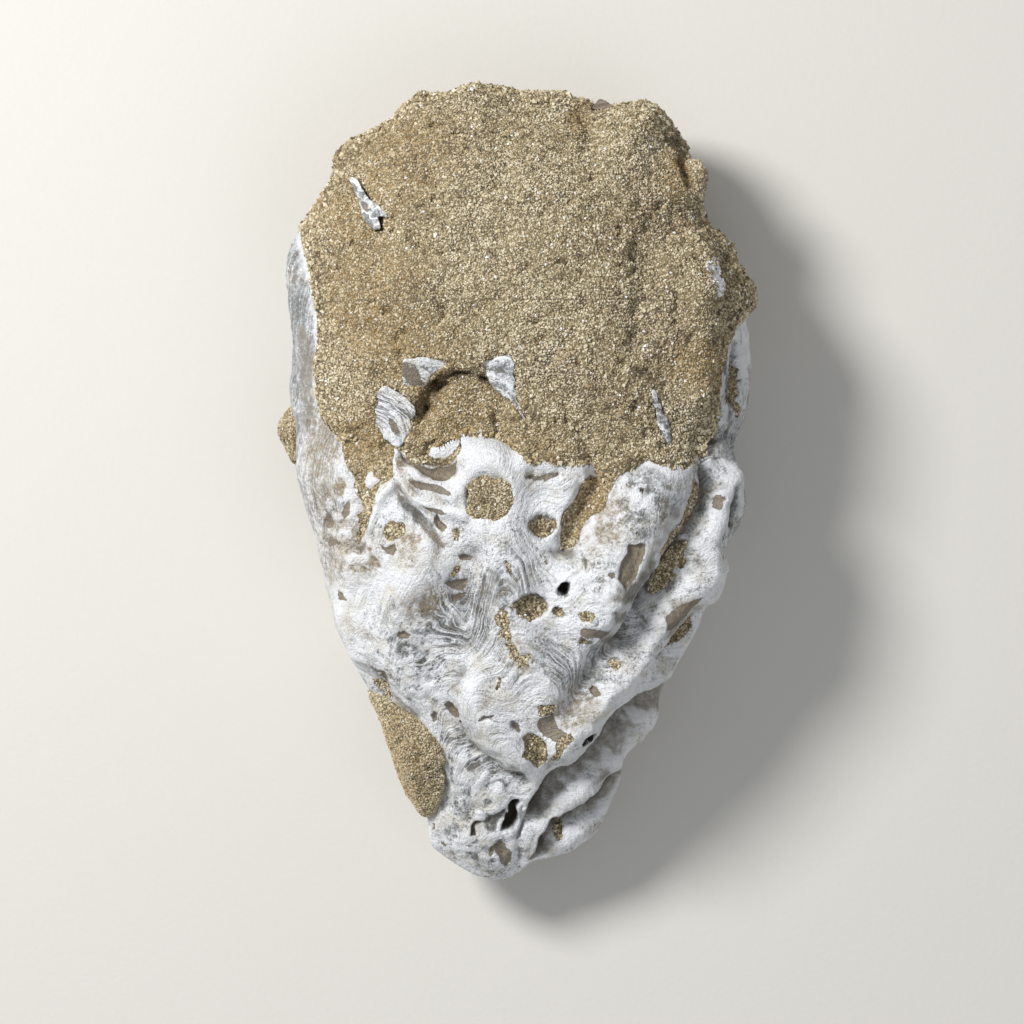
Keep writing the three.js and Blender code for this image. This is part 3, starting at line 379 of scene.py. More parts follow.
SAND_POLE = (-2.0, 40.0)
SAND_RIM = (
    (54, 41, 30), (51.5, 48, 29), (47.5, 54.5, 28), (43.5, 57.5, 28), (42, 62.5, 27),
    (43, 68, 27), (39.5, 73, 27), (38, 76, 26), (35, 81, 26), (31.5, 85, 26), (27, 86.3, 26),
    (20, 85.2, 27), (10, 87.3, 27), (-1, 88.7, 27), (-9.5, 90, 27), (-14.5, 88, 27),
    (-22, 87, 27), (-26, 83.5, 27), (-31.5, 79.5, 27), (-39.3, 75, 27), (-41.5, 69, 28),
    (-44.3, 62.5, 29), (-48, 57, 30), (-47, 50, 32), (-45.6, 41, 33), (-44.6, 30, 35),
    (-44.3, 19.5, 37.2), (-43, 14, 38), (-39.4, 10, 41.6), (-36.5, 8, 43.5),
    (-33, 7.5, 44.9), (-29, 7.8, 46.3), (-26.2, 7.4, 48.2), (-23.6, 5.9, 48.2),
    (-20.6, 5.3, 49.2), (-18.2, 6.6, 50.2), (-15.9, 7.2, 50.6), (-13.8, 8.6, 51), (-10.8, 9.8, 51.3),
    (-6.4, 9.6, 51.4), (-2.7, 8.5, 51.3), (-0.4, 7, 52.8), (1.8, 4.8, 54.6), (4.6, 3.6, 54.3),
    (7.4, 4.4, 53.7), (11.2, 3.4, 53.3), (14.7, 3.4, 53.2), (17.2, 3.2, 51.6), (19, 1.4, 50.1),
    (21.9, 0.8, 51.5), (25.3, 3, 51.8), (28.7, 5, 51.2), (31.8, 4.4, 52), (34.9, 2.6, 52.4),
    (37.8, 2.6, 49.4), (40.5, 5.2, 41.6), (43.2, 10.3, 37.6), (44.9, 15.5, 39.6),
    (45.6, 20, 38.2), (46.8, 26.5, 37.4), (48.4, 32, 35.6), (50.4, 36.5, 33),
)
SAND_SPINE = ((0, 54), (18, 55.5), (40, 56), (60, 54), (75, 50), (92, 45))
SAND_RELIEF = (
    Ridge(((29.4, 49.6), (28.2, 41.1), (26.7, 30.9)), 3.0, -2.4, 2.0),
    Ridge(((39.3, 52.3), (41.5, 34.3), (40.4, 18.6)), 4.0, 2.5, 2.0),
    Ridge(((15, 86.5), (16.3, 77)), 1.8, -2.5, 2.0),
    Ridge(((27, 79), (24, 72)), 5.0, 2.5, 2.0),
    Ridge(((36.9, 72), (38.9, 66.8)), 1.2, -2.6, 2.0),
    Ridge(((-36, 66), (-31, 57)), 3.0, -1.5, 2.0),
    Ridge(((-12, 60), (-2, 50)), 9.0, -1.5, 2.0),
    Ridge(((-30, 40), (-24, 32)), 8.0, 1.0, 2.0),
)
RECESS = Spot(-10.2, 12.9, 12.0, 12.0, 0)
RECESS_DEPTH = 1.3
RECESS_SLANT = (0.45, -0.9)      # the way in which its floor rises
RECESS_CUT = Ridge(((-21.5, 15.6), (-20.8, 18.4), (-18.8, 21.1), (-16.2, 23.1), (-12.9, 24.1),
        (-10.5, 24.1), (-8, 23.1), (-5.4, 21.7), (-3.2, 20), (-0.6, 17.7)), 0.6, -2.6, 2.0)
RECESS_POCKET = Ridge(((-20.8, 15.4), (-19.2, 18.6), (-16.8, 21)), 2.4, -3.2, 2.6)
SAND_SQUARENESS = 2.1
SAND_FLAT_SHARE = 0.5
SAND_FLOOR = 1.0
SAND_FINE_SHARE = 0.95           # of the radius, out to which the grains are fine
GRAIN_HIDDEN_DEPTH = 3.0         # how deep in the shell the sandstone's grains stop
GRAIN_SEAM = 2.0                 # how far under the sandstone the shell's own grains go on
RUSTY_SPOTS = (
    Spot(-25, -62, 6, 12, 25),
    Spot(-32, 43, 11, 9, 0), Spot(-27, 30, 13, 10, -20), Spot(-12, 13, 11, 9, 0),
    Spot(-24, 72, 12, 8, 20),
    Spot(14, 81, 2.4, 4, 0), Spot(36, 68, 4, 5, 0), Spot(-35, 59, 8, 8, 0), Spot(40, 26, 7, 5, 0),
    Spot(-33, 8, 6, 7, 0), Spot(16, -6, 3, 9, -25), Spot(-4, 9, 14, 4, 0),
)
# Painted shade: grains darkened where they lie in shadow, in the recess's pocket and arc, the crease beside
# the pebble and small holes.
GRAIN_SHADE_SPOTS = (
    Spot(-19.6, 18.2, 2.2, 4.6, -35), Spot(-13.5, 23.6, 4, 1.2, 0), Spot(-6, 21.4, 3.5, 0.8, -40),
    Spot(-5.9, 72.5, 0.9, 0.54, 40), Spot(2.7, 63, 0.8, 0.48, 0), Spot(-8.6, 69.8, 0.8, 0.48, 20),
    Spot(24.8, 51.1, 2.2, 1.1, 70), Spot(37.8, 69.4, 3.2, 0.6, -67), Spot(35.4, 75.6, 2.4, 1.1, -50),
    Spot(9.8, 48.5, 1.6, 0.8, 0), Spot(27.4, 24.2, 2.6, 1.3, -20),
)
PALE_SPOTS = (
    Spot(-25, -60, 10, 18, 25), Spot(4, 34, 16, 13, 0), Spot(-2, 60, 15, 9, 10), Spot(27, 71, 7, 7, 0),
    Spot(-8, 40, 12, 9, 0), Spot(-38, 22, 6, 8, 0), Spot(36, 12, 9, 7, 0), Spot(40.5, 69.2, 3, 3, 0),
)
LEVEL = (0.0, 0.0)
GROOVE_SLOPE = (-0.15, 0.35)
FILLING_PROUD = 1.0
FILLING_EDGE_DROP = 1.0
FILLING_THICKNESS = 3.0
FILLING_RAGGEDNESS = 0.8
FILLING_FIT_REACH = 1.5
FILLING_HIDDEN_DEPTH = 4.0       # how deep in the shell a filling's grains stop

UMBO_PATCH_POLE = (-24.5, -60.0)
UMBO_PATCH_RIM = (
    (-16, -62.5, 34), (-18.5, -56.5, 35.5), (-22, -53, 35), (-28, -49, 33), (-33.3, -46.6, 26.5),
    (-31.5, -51.5, 24), (-29.3, -57, 23), (-26, -66.5, 22), (-22.3, -73.5, 21), (-19.5, -75, 23),
    (-17, -70, 29),
)
UMBO_PATCH_SPINE = ((-76, 28), (-62, 35), (-45, 36))

Chip = namedtuple("Chip", "node outline thickness proud lines grey white")
CHIPS = (
    Chip("shell_fragment_crescent", ((-30.5, 17.6), (-30.9, 15.2), (-30.2, 12.1), (-28.7, 9.8),
        (-26.6, 8), (-24.7, 8), (-24, 10.2), (-23.2, 11.9), (-23.3, 13.6), (-22.4, 14.8), (-22.7, 16.9),
        (-24.4, 18.9), (-26.8, 20.2), (-28.4, 21.1), (-30.1, 19.7)), 4, 0.5, 1, 0.75, 0.3),
    Chip("shell_fragment_left", ((-25, 24.2), (-24.4, 21.5), (-22.1, 20.7), (-20.4, 20.5), (-19, 22.7),
        (-16.6, 24.7), (-14.5, 26.2), (-17, 26.8), (-19.1, 27.4), (-22.1, 27.2), (-24.2, 26.5)),
        2.6, 0.4, 0.3, 0.4, 0.6),
    Chip("shell_fragment_right", ((-5.8, 22.7), (-3.5, 19.9), (-1.1, 17.7), (1.2, 13.6), (2.6, 12.6),
        (1.1, 15.8), (-0.2, 20.5), (-0.6, 25.1), (-1.1, 27.8), (-3.3, 27.5), (-5.6, 27), (-7.5, 26.2)),
        2.6, 0.5, 0.3, 0.7, 0.25),
    Chip("shell_fragment_flank", ((42.2, 46.3), (42.5, 44.7), (42.9, 42.9), (43.9, 42.5), (44.8, 41.6),
        (45.7, 41.6), (46.1, 43.2), (45.6, 44.5), (44.9, 46.1), (45.3, 47.6), (44.6, 49.2), (43, 48.9),
        (42.2, 47.8)), 3, 1.2, 0.3, 0.05, 1.0),
    Chip("shell_splinter", ((29.9, 20.4), (30.1, 18.4), (30.7, 15.8), (31.4, 13.2), (32.3, 10.4),
        (33.3, 8.2), (34.4, 8.6), (34.1, 11.2), (33.3, 13.6), (32.3, 16), (31.2, 18.5), (30.5, 20.3)),
        2.0, 0.35, 0.3, 0.8, 0.1),
    Chip("shell_sliver", ((-36.3, 65.7), (-35.2, 63.4), (-34, 60.8), (-33.6, 58.6), (-32.1, 56.6),
        (-30.3, 55.9), (-30.1, 58.6), (-28.3, 58.8), (-31.6, 61.9), (-33.2, 63.9), (-34.9, 66.3),
        (-36.5, 67.6)), 2.4, 0.4, 0.3, 0.85, 0.0),
    Chip("brown_chip", ((17.2, 83.7), (18.2, 83.5), (19.7, 83.6), (21, 83.8), (21.6, 84.6), (20.8, 85.2),
        (19.8, 85.6), (18.8, 86), (17.9, 85.4), (16.9, 84.5)), 3.4, 0.1, 0, 0, 0),
)
CHIP_RAGGEDNESS = 0.5
LOOSE_CHIP = "shell_splinter"    # it replaces no node
CRYSTAL_CHIP = "shell_fragment_flank"
CHIP_SEAT = 1.8                  # how deep the sandstone's seat under a chip is
CHIP_AGE_SHIFT = 6.0             # how far off its middle the rings of a chip have theirs, in x and in y
CRYSTAL_SPACING = 0.55
CRYSTAL_RADIUS = 0.38
CHIP_BROWN_SPOTS = (
    Spot(-22.7, 23.2, 2.1, 2.3, 10), Spot(-26.9, 12.2, 1.0, 2.3, 25), Spot(-33.4, 60.9, 0.7, 1.8, 30),
    Spot(-22, 21.6, 1.8, 1.2, 0), Spot(-24.3, 24.5, 1.2, 2, 0),
)

PEBBLE = Spot(40.5, 69.2, 3.3, 2.3, 122)
PEBBLE_TOP = 38.0
PEBBLE_HALF_HEIGHT = 4.5

SIDE_LUMP_POLE = (-49.3, 11.5)
SIDE_LUMP_RIM = (
    (-44.4, 11.5, 18), (-46, 16.5, 19), (-49, 19, 19), (-51.4, 16.6, 19), (-53.9, 12.4, 18),
    (-52.4, 8.2, 18), (-50.2, 4.4, 18), (-47, 4.6, 18),
)
SIDE_LUMP_SPINE = ((0, 25), (12, 25.5), (24, 25))

# ---- Stage, in millimetres, with lights in metres and watts ------------------------------------

Lamp = namedtuple("Lamp", "name place size power colour")
LAMPS = (
    Lamp("key", (-0.55, 0.42, 0.72), 0.30, 10.5, (1.0, 0.99, 0.97)),
    Lamp("fill", (0.40, -0.50, 0.90), 0.80, 1.5, (0.95, 0.97, 1.0)),
)
AMBIENT_COLOUR = (0.96, 0.98, 1.0)
AMBIENT_STRENGTH = 0.32
FLOOR_HALF = 3.0
FLOOR_HEIGHT = -0.0002
SENSOR_WIDTH = 36.0
CAMERA_HEIGHT = 1200.0
MIDDLE_HEIGHT = 26.0
FRAME_WIDTH = 230.4
FRAME_CENTRE = (-0.79, -6.64)

# ---- Curves, noise and distances ------------------------------------------------------------

CURVE_STEPS = 10                 # points in each span of a smooth curve
PATH_STEPS = 6                   # the same along a ridge, wall or band, and round a chip
RIM_STEPS = 16                   # the same round a body's rim
LATTICE_SIZE = 64
LATTICE_SEED = 23
LATTICE = np.random.default_rng(LATTICE_SEED).random((LATTICE_SIZE,) * 3)
OCTAVE_TURN = np.linalg.qr(np.array([[0.8, 0.5, -0.3], [-0.4, 0.7, 0.6], [0.5, -0.4, 0.8]]))[0]
OCTAVE_SHIFT = 17.3              # mm from one octave's noise to the next one's
OCTAVE_SUM = 1.5                 # brings the sum of the octaves back to about -1 to 1
WANDER_SIZE, RAGGED_SIZE = 4.0, 1.6          # the two sizes of bends in an outline

RIDGE_REACH = 3.2                # widths from its path at which a ridge has died out
STEP_REACH = 3.0                 # the same for a wall, in reaches
STEP_FALL = (-0.3, 0.7)          # where a wall starts and ends, in widths across its path
STEP_END = 0.4                   # how far a wall goes on past its path, in reaches
PIT_WOBBLE = 0.10
PIT_WALL = (0.80, 1.05)          # where a pit's wall starts and ends, as shares of its radius
PIT_DISH = 0.12                  # share of its depth by which a pit's floor rises to the wall
PIT_LIP_HEIGHT = 0.04            # share of its depth
PIT_LIP_RADIUS = 1.25
PIT_LIP_WIDTH = 0.14
SPOT_WOBBLE = 0.35
STRIP_WOBBLE = 0.45
STRIP_REACH = 2.5


def smooth_curve(points, closed=False, steps=CURVE_STEPS):
    """Catmull-Rom curve: a cubic for each span, whose slope at a point is half the step between
    the points before and after it."""
    points = np.asarray(points, float)
    if closed:
        padded = np.vstack([points[-1:], points, points[:2]])
    else:
        padded = np.vstack([2 * points[:1] - points[1:2], points, 2 * points[-1:] - points[-2:-1]])
    before, start, end, after = (padded[k : len(padded) - 3 + k, None] for k in range(4))
    f = np.linspace(0, 1, steps, endpoint=False)[:, None]
    square = 2 * before - 5 * start + 4 * end - after
    cube = 3 * start - 3 * end + after - before
    curve = 0.5 * (2 * start + (end - before) * f + square * f**2 + cube * f**3)
    curve = curve.reshape(-1, points.shape[1])
    return curve if closed else np.vstack([curve, points[-1:]])


def along_stations(stations, position):
    """Smooth curve through (position, value) stations, level beyond both ends."""
    curve = smooth_curve(stations)
    return np.interp(position, curve[:, 0], curve[:, 1])


def smooth_step(value, low, high):
    """0 at low, 1 at high, either of which may be the larger, and 3f² - 2f³ between."""
    f = np.clip((value - low) / (high - low), 0, 1)
    return f * f * (3 - 2 * f)


def value_noise(points, size):
    """Random numbers from -1 to 1 on a cubic lattice, blended by a quintic ramp between its nodes."""
    cell = points / size
    node = np.floor(cell).astype(int)
    f = cell - node
    f = f**3 * (f * (f * 6 - 15) + 10)
    total = np.zeros(len(points))
    for corner in np.ndindex(2, 2, 2):
        weight = np.where(corner, f, 1 - f).prod(axis=1)
        i, j, k = ((node + corner) % LATTICE_SIZE).T
        total += LATTICE[i, j, k] * weight
    return 2 * total - 1


def cloudy(points, size, octaves=3):
    """Value noise with features of a size in mm, summed over octaves that halve in size and height.

    A number added to the points slides the noise by as many mm, so that no two uses are alike.
    """
    total = np.zeros(len(points))
    height = 1.0
    for _ in range(octaves):
        total += value_noise(points, size) * height
        points = points @ OCTAVE_TURN + OCTAVE_SHIFT
        size *= 0.5
        height *= 0.5
    return total / OCTAVE_SUM


def wandering(points, size, shifts=(0, 31), octaves=3):
    """How far each point strays in plan: one cloudy noise for x and another for y."""
    return np.column_stack([cloudy(points + shift, size, octaves) for shift in shifts])


def beside_path(plan, path):
    """For each plan point: its distance across the nearest stretch of the smooth path, positive on
    the right, and how far past the path's nearer end it lies."""
    curve = smooth_curve(path, steps=PATH_STEPS)
    start = curve[:-1]
    step = np.diff(curve, axis=0)
    length = np.linalg.norm(step, axis=1)
    offset = plan[:, None, :] - start
    share = (offset * step).sum(axis=2) / length**2
    gap = np.linalg.norm(offset - np.clip(share, 0, 1)[..., None] * step, axis=2)
    nearest = gap.argmin(axis=1)
    row = np.arange(len(plan))
    across = (offset[..., 0] * step[:, 1] - offset[..., 1] * step[:, 0]) / length
    past = np.maximum(-share, share - 1) * length
    before_start = (nearest == 0) & (share[row, nearest] < 0)
    after_end = (nearest == len(step) - 1) & (share[row, nearest] > 1)
    return across[row, nearest], np.where(before_start | after_end, past[row, nearest], 0)


def near(plan, path, reach):
    """Which plan points lie in the path's box, widened by the reach."""
    path = np.asarray(path)
    return ((plan > path.min(axis=0) - reach) & (plan < path.max(axis=0) + reach)).all(axis=1)


def ridge_height(plan, ridge):
    """height · exp(-(|across| / width)^sharpness), with round ends."""
    total = np.zeros(len(plan))
    hit = near(plan, ridge.path, RIDGE_REACH * ridge.width)
    across, past = beside_path(plan[hit], ridge.path)
    bell = np.exp(-((np.abs(across) / ridge.width) ** ridge.sharpness) - (past / ridge.width) ** 2)
    total[hit] = ridge.height * bell
    return total


def step_height(plan, step):
    """A wall: the ground drops within the wall's width and climbs back as exp(-(across / reach)²)."""
    total = np.zeros(len(plan))
    hit = near(plan, step.path, STEP_REACH * step.reach)
    across, past = beside_path(plan[hit], step.path)
    fall = smooth_step(across, STEP_FALL[0] * step.wall, STEP_FALL[1] * step.wall)
    back = np.exp(-((np.maximum(across, 0) / step.reach) ** 2) - (past / (STEP_END * step.reach)) ** 2)
    total[hit] = -step.drop * fall * back
    return total


def oval_distance(plan, spot):
    """Distance from an oval's centre as a share of its radius in that direction."""
    turn = np.radians(spot.turn)
    x, y = (plan - (spot.x, spot.y)).T
    along = x * np.cos(turn) + y * np.sin(turn)
    across = y * np.cos(turn) - x * np.sin(turn)
    return np.hypot(along / spot.length, across / spot.width)


def oval_outline(spot, count=16):
    """Points round an oval."""
    angle = np.linspace(0, 2 * np.pi, count, endpoint=False)
    turn = np.radians(spot.turn)
    along, across = spot.length * np.cos(angle), spot.width * np.sin(angle)
    return np.column_stack([spot.x + along * np.cos(turn) - across * np.sin(turn),
                            spot.y + along * np.sin(turn) + across * np.cos(turn)])


def pit_height(plan, pit, wobble):
    """A bored pit: a steep wall down to a slightly dished floor, with a faint raised lip."""
    r = oval_distance(plan, pit.spot) * (1 + PIT_WOBBLE * wobble)
    floor = -pit.depth * (1 - smooth_step(r, *PIT_WALL)) * (1 - PIT_DISH * np.minimum(r, 1) ** 2)
    return floor + PIT_LIP_HEIGHT * pit.depth * np.exp(-(((r - PIT_LIP_RADIUS) / PIT_LIP_WIDTH) ** 2))


def spot_mask(plan, spots, wobble, soft=0.15):
    """1 inside any of the ovals and 0 outside, with a wandering edge."""
    mask = np.zeros(len(plan))
    for spot in spots:
        r = oval_distance(plan, spot) + SPOT_WOBBLE * wobble
        mask = np.maximum(mask, 1 - smooth_step(r, 1 - soft, 1 + soft))
    return mask


def strip_mask(plan, strips, wobble, soft=0.2):
    """1 along any of the bands and 0 beside them, with a wandering edge."""
    mask = np.zeros(len(plan))
    for strip in strips:
        hit = near(plan, strip.path, STRIP_REACH * strip.width)
        across, past = beside_path(plan[hit], strip.path)
        r = np.hypot(across, past) / strip.width + STRIP_WOBBLE * wobble[hit]
        mask[hit] = np.maximum(mask[hit], 1 - smooth_step(r, 1 - soft, 1 + soft))
    return mask


def patch_distance(plan, outline):
    """Distance in mm from the edge of a straight-sided area, below 0 inside it."""
    start = np.asarray(outline, float)
    step = np.roll(start, -1, axis=0) - start
    offset = plan[:, None, :] - start
    share = np.clip((offset * step).sum(axis=2) / (step**2).sum(axis=1), 0, 1)
    gap = np.linalg.norm(offset - share[..., None] * step, axis=2).min(axis=1)
    rise = np.where(step[:, 1] == 0, 1, step[:, 1])
    spans = (offset[..., 1] < 0) != (offset[..., 1] < step[:, 1])
    crossed = spans & (offset[..., 0] < step[:, 0] * offset[..., 1] / rise)
    return np.where(crossed.sum(axis=1) % 2, -gap, gap)


# ---- Bodies ---------------------------------------------------------------------------------

Body = namedtuple("Body", "points normals quads tris radius upper")

CURVED_RINGS = 16                # rings of points on the curved part of an underside
FLAT_RINGS = 8                   # the same on its flat part, with its middle point
HALVED_RINGS = (0, 8, 16)        # the rings that have half as many points as the one outside them
SMALL_FLAT_SHARE = 0.6
SPINE_REACH = 60.0               # how far a small body's level spine goes on past its middle


def rim_loop(rim):
    """The rim's smooth closed curve, and the share of its length at each of its points."""
    curve = smooth_curve(rim, closed=True, steps=RIM_STEPS)
    loop = np.vstack([curve, curve[:1]])
    lengths = np.linalg.norm(np.diff(loop, axis=0), axis=1)
    return loop, np.concatenate([[0], np.cumsum(lengths)]) / lengths.sum()


def rim_points(rim, share):
    """The rim's points at shares of its length."""
    loop, shares = rim_loop(rim)
    return np.stack([np.interp(share % 1, shares, column) for column in loop.T], axis=-1)


def dome_height(rim_height, spine, y, t, squareness):
    """Rim height + (spine height - rim height) · (1 - tⁿ)^(1/n)."""
    rise = (1 - np.minimum(t, 1) ** squareness) ** (1 / squareness)
    return rim_height + (along_stations(spine, y) - rim_height) * rise


def floor_height(rim_height, floor, t, flat_share):
    """Flat out to flat_share of the radius, then a quarter of an oval up to the rim."""
    outer = np.clip((t - flat_share) / (1 - flat_share), 0, 1)
    return floor + (rim_height - floor) * (1 - np.sqrt(1 - outer**2))


def triangles(quads, tris):
    """All faces as triangles, with each quad cut in two."""
    return np.vstack([quads[:, [0, 1, 2]], quads[:, [0, 2, 3]], tris])


def vertex_normals(points, quads, tris):
    """Sum of the cross products of the faces round each vertex, brought to length 1."""
    faces = triangles(quads, tris)
    corner = points[faces]
    cross = np.cross(corner[:, 1] - corner[:, 0], corner[:, 2] - corner[:, 0])
    flat = faces.ravel()
    total = np.stack([np.bincount(flat, np.repeat(c, 3), len(points)) for c in cross.T], axis=1)
    return total / np.maximum(np.linalg.norm(total, axis=1, keepdims=True), 1e-9)


def stitched(outer, inner):
    """Faces from a ring to the next one inwards, which has as many points or half as many."""
    after = np.roll(inner, -1)
    if len(outer) == len(inner):
        return np.column_stack([outer, inner, after, np.roll(outer, -1)]), np.empty((0, 3), int)
    even, odd = outer[::2], outer[1::2]
    fans = [(even, inner, odd), (inner, after, odd), (odd, after, np.roll(even, -1))]
    return np.empty((0, 4), int), np.vstack([np.column_stack(fan) for fan in fans])


def domed_body(rim, pole, spine, squareness, flat_share, floor, side, hidden_stretch=1.0):
    """A closed body on a rim curve C and a pole.

    The upper side is a square grid (a, b) drawn out to a disc, (a √(1 - b²/2), b √(1 - a²/2)),
    whose angle picks a rim point and whose radius r gives t = r^stretch. The stretch is 1, and
    goes to hidden_stretch towards +Y, where the body is covered and needs fewer points. In plan a
    point is pole + t (C - pole), and its height is dome_height. The underside is rings of the same
    rim points at floor_height, with half the points from ring to ring where they get close.
    """
    ramp = np.linspace(-1, 1, side + 1)
    a, b = np.meshgrid(ramp, ramp, indexing="ij")
    u, v = a * np.sqrt(1 - b**2 / 2), b * np.sqrt(1 - a**2 / 2)
    share = (np.arctan2(v, u) / (2 * np.pi) % 1).ravel()
    towards_back = np.clip(np.sin(2 * np.pi * share), 0, 1)
    t = np.minimum(np.hypot(u, v).ravel(), 1) ** (1 + (hidden_stretch - 1) * towards_back)
    index = np.arange((side + 1) ** 2).reshape(side + 1, side + 1)
    quads = [np.column_stack([index[:-1, :-1].ravel(), index[1:, :-1].ravel(),
                              index[1:, 1:].ravel(), index[:-1, 1:].ravel()])]
    tris = []

    ring = np.concatenate([index[-1, :-1], index[:0:-1, -1], index[0, :0:-1], index[:-1, 0]])
    ring_share = share[ring]
    shares, radii, upper = [share], [t], [np.ones(len(t), bool)]
    count = len(t)
    bend = np.radians(np.linspace(90, 0, CURVED_RINGS + 1)[1:])
    curved = flat_share + (1 - flat_share) * np.sin(bend)
    level = flat_share * np.linspace(1, 0, FLAT_RINGS + 1)[1:-1]
    for k, radius in enumerate(np.concatenate([curved, level])):
        if k in HALVED_RINGS:
            ring_share = ring_share[::2]
        inner = count + np.arange(len(ring_share))
        more_quads, more_tris = stitched(ring, inner)
        quads.append(more_quads)
        tris.append(more_tris)
        shares.append(ring_share)
        radii.append(np.full(len(inner), radius))
        upper.append(np.zeros(len(inner), bool))
        ring = inner
        count += len(inner)
    shares.append([0.0])
    radii.append([0.0])
    upper.append([False])
    tris.append(np.column_stack([ring, np.full(len(ring), count), np.roll(ring, -1)]))

    share, t, upper = np.concatenate(shares), np.concatenate(radii), np.concatenate(upper)
    quads, tris = np.vstack(quads), np.vstack(tris)
    on_rim = rim_points(rim, share)
    plan = np.asarray(pole) + t[:, None] * (on_rim[:, :2] - pole)
    top = dome_height(on_rim[:, 2], spine, plan[:, 1], t, squareness)
    under = floor_height(on_rim[:, 2], floor, t, flat_share)
    points = np.column_stack([plan, np.where(upper, top, under)])
    return Body(points, vertex_normals(points, quads, tris), quads, tris, t, upper)


def small_body(outline, centre_height, edge_drop, thickness, slope, side, squareness=3.0,
               uneven=CHIP_RAGGEDNESS):
    """A domed body on a smooth outline that strays by the uneven distance. Its top edge lies
    edge_drop below its middle, its underside a thickness below that edge, and it is tilted by the
    slope in x and in y."""
    outline = np.asarray(outline, float)
    pole = outline.mean(axis=0)
    low = centre_height - edge_drop
    rim = smooth_curve(np.column_stack([outline, np.full(len(outline), low)]), closed=True, steps=PATH_STEPS)
    rim[:, :2] += uneven * wandering(rim, RAGGED_SIZE, shifts=(0, 50), octaves=2)
    level = ((pole[1] - SPINE_REACH, centre_height), (pole[1] + SPINE_REACH, centre_height))
    body = domed_body(rim, pole, level, squareness, SMALL_FLAT_SHARE, low - thickness, side)
    body.points[:, 2] += (body.points[:, :2] - pole) @ np.asarray(slope)
    return body._replace(normals=vertex_normals(body.points, body.quads, body.tris))


def raised(body, relief):
    """The body with its points moved along its normals."""
    points = body.points + body.normals * relief[:, None]
    return body._replace(points=points, normals=vertex_normals(points, body.quads, body.tris))


def plane_over(body, x, y, reach):
    """Height and slopes of the plane that fits the body's upper side best within reach of a point."""
    points = body.points[body.upper]
    offset = points[:, :2] - (x, y)
    close = np.hypot(*offset.T) < reach
    terms = np.column_stack([np.ones(close.sum()), offset[close]])
    height, *slope = np.linalg.lstsq(terms, points[close, 2], rcond=None)[0]
    return height, slope


def neighbour_mean(values, quads, rounds):
    """The values blurred by taking the mean of each point's neighbours, several times."""
    sides = np.vstack([quads[:, [0, 1]], quads[:, [1, 2]], quads[:, [2, 3]], quads[:, [3, 0]]])
    sides = np.vstack([sides, sides[:, ::-1]])
    count = np.maximum(np.bincount(sides[:, 0], minlength=len(values)), 1)
    for _ in range(rounds):
        values = 0.5 * values + 0.5 * np.bincount(sides[:, 0], values[sides[:, 1]], len(values)) / count
    return values


def standing_proud(relief, body, rounds, full):
    """How far the relief stands over the blurred relief round it, from -1 to 1 at the full height."""
    return np.clip((relief - neighbour_mean(relief, body.quads, rounds)) / full, -1, 1)


# ---- The shell's and the sandstone's own formulas ---------------------------------------------

UMBO_TIP = (-1.0, -92.0)
GROWTH_SQUEEZE = 1.9             # how many times faster the margin grew along than across
GROWTH_BOW = 3.0                 # how far growth lines bow outwards for each mm of relief
GROWTH_DATUM = 30.0              # the height below which the way down the flanks adds to the age
GROWTH_RINGS = 3                 # the first pits, which have rings round them
GROWTH_RING_HEIGHT = 3.5
GROWTH_RING_REACH = 2.0
MEAN_GROWTH_RADIUS = 60.0
SHEET_RISE, SHEET_DROP = 0.82, 0.18          # shares of the spacing
SHEET_COUNT = 4096
SHEET_SEED = 5
FINE_SHEET_SPACING, FINE_SHEET_HEIGHT = 0.4, 0.35    # shares of the broad sheets' own
COVER_SCALE = -320.0             # mm of missing cover for each share of the radius past the rim

PLAN_WANDER = 0.8
SPOT_WANDER, SPOT_RAGGED = 0.4, 0.55
PATCH_RAGGED = 0.3
SHELL_FADE = (0.93, 1.0)         # shares of the radius over which relief fades out at the rim
PIT_REACH = 2.0
HOLLOW_WALL = (0.75, 1.1)
BURIED_RAMP = (0.4, 2.6)         # how far under the sandstone the shell starts and ends its drop
CRUST_RAMP = (-4.0, 0.5)         # the same for the thick sand that meets the sandstone
CRUST_RISE = 1.1
CRUST_LUMPS = 0.45
BUTTON_RISE = 0.5
PROUD_ROUNDS, PROUD_FULL = 40, 0.8
SOFT = 0.5                       # half the fade at the edge of a broad area, as a share of it

SAND_WANDER, SAND_WANDER_SIZE = 0.6, 5.0
SAND_FADE = (0.9, 1.0)
SEAT_EDGE = (-0.5, 0.3)

# The marks that the calcite material reads. deep carries painted shade in holes and cracks, shade carries
# painted shade under the ledges, and raised carries painted shade in the hollows.
ShellMarks = namedtuple(
    "ShellMarks", "growth around sand brown deep grey white tan shade speckled lined raised"
)


def shell_form(plan):
    """Height of the ribs, grooves and walls, whose bends the growth lines follow."""
    form = np.zeros(len(plan))
    for ridge in SHELL_RIBS + SHELL_GROOVES:
        form += ridge_height(plan, ridge)
    for step in SHELL_STEPS:
        form += step_height(plan, step)
    return form


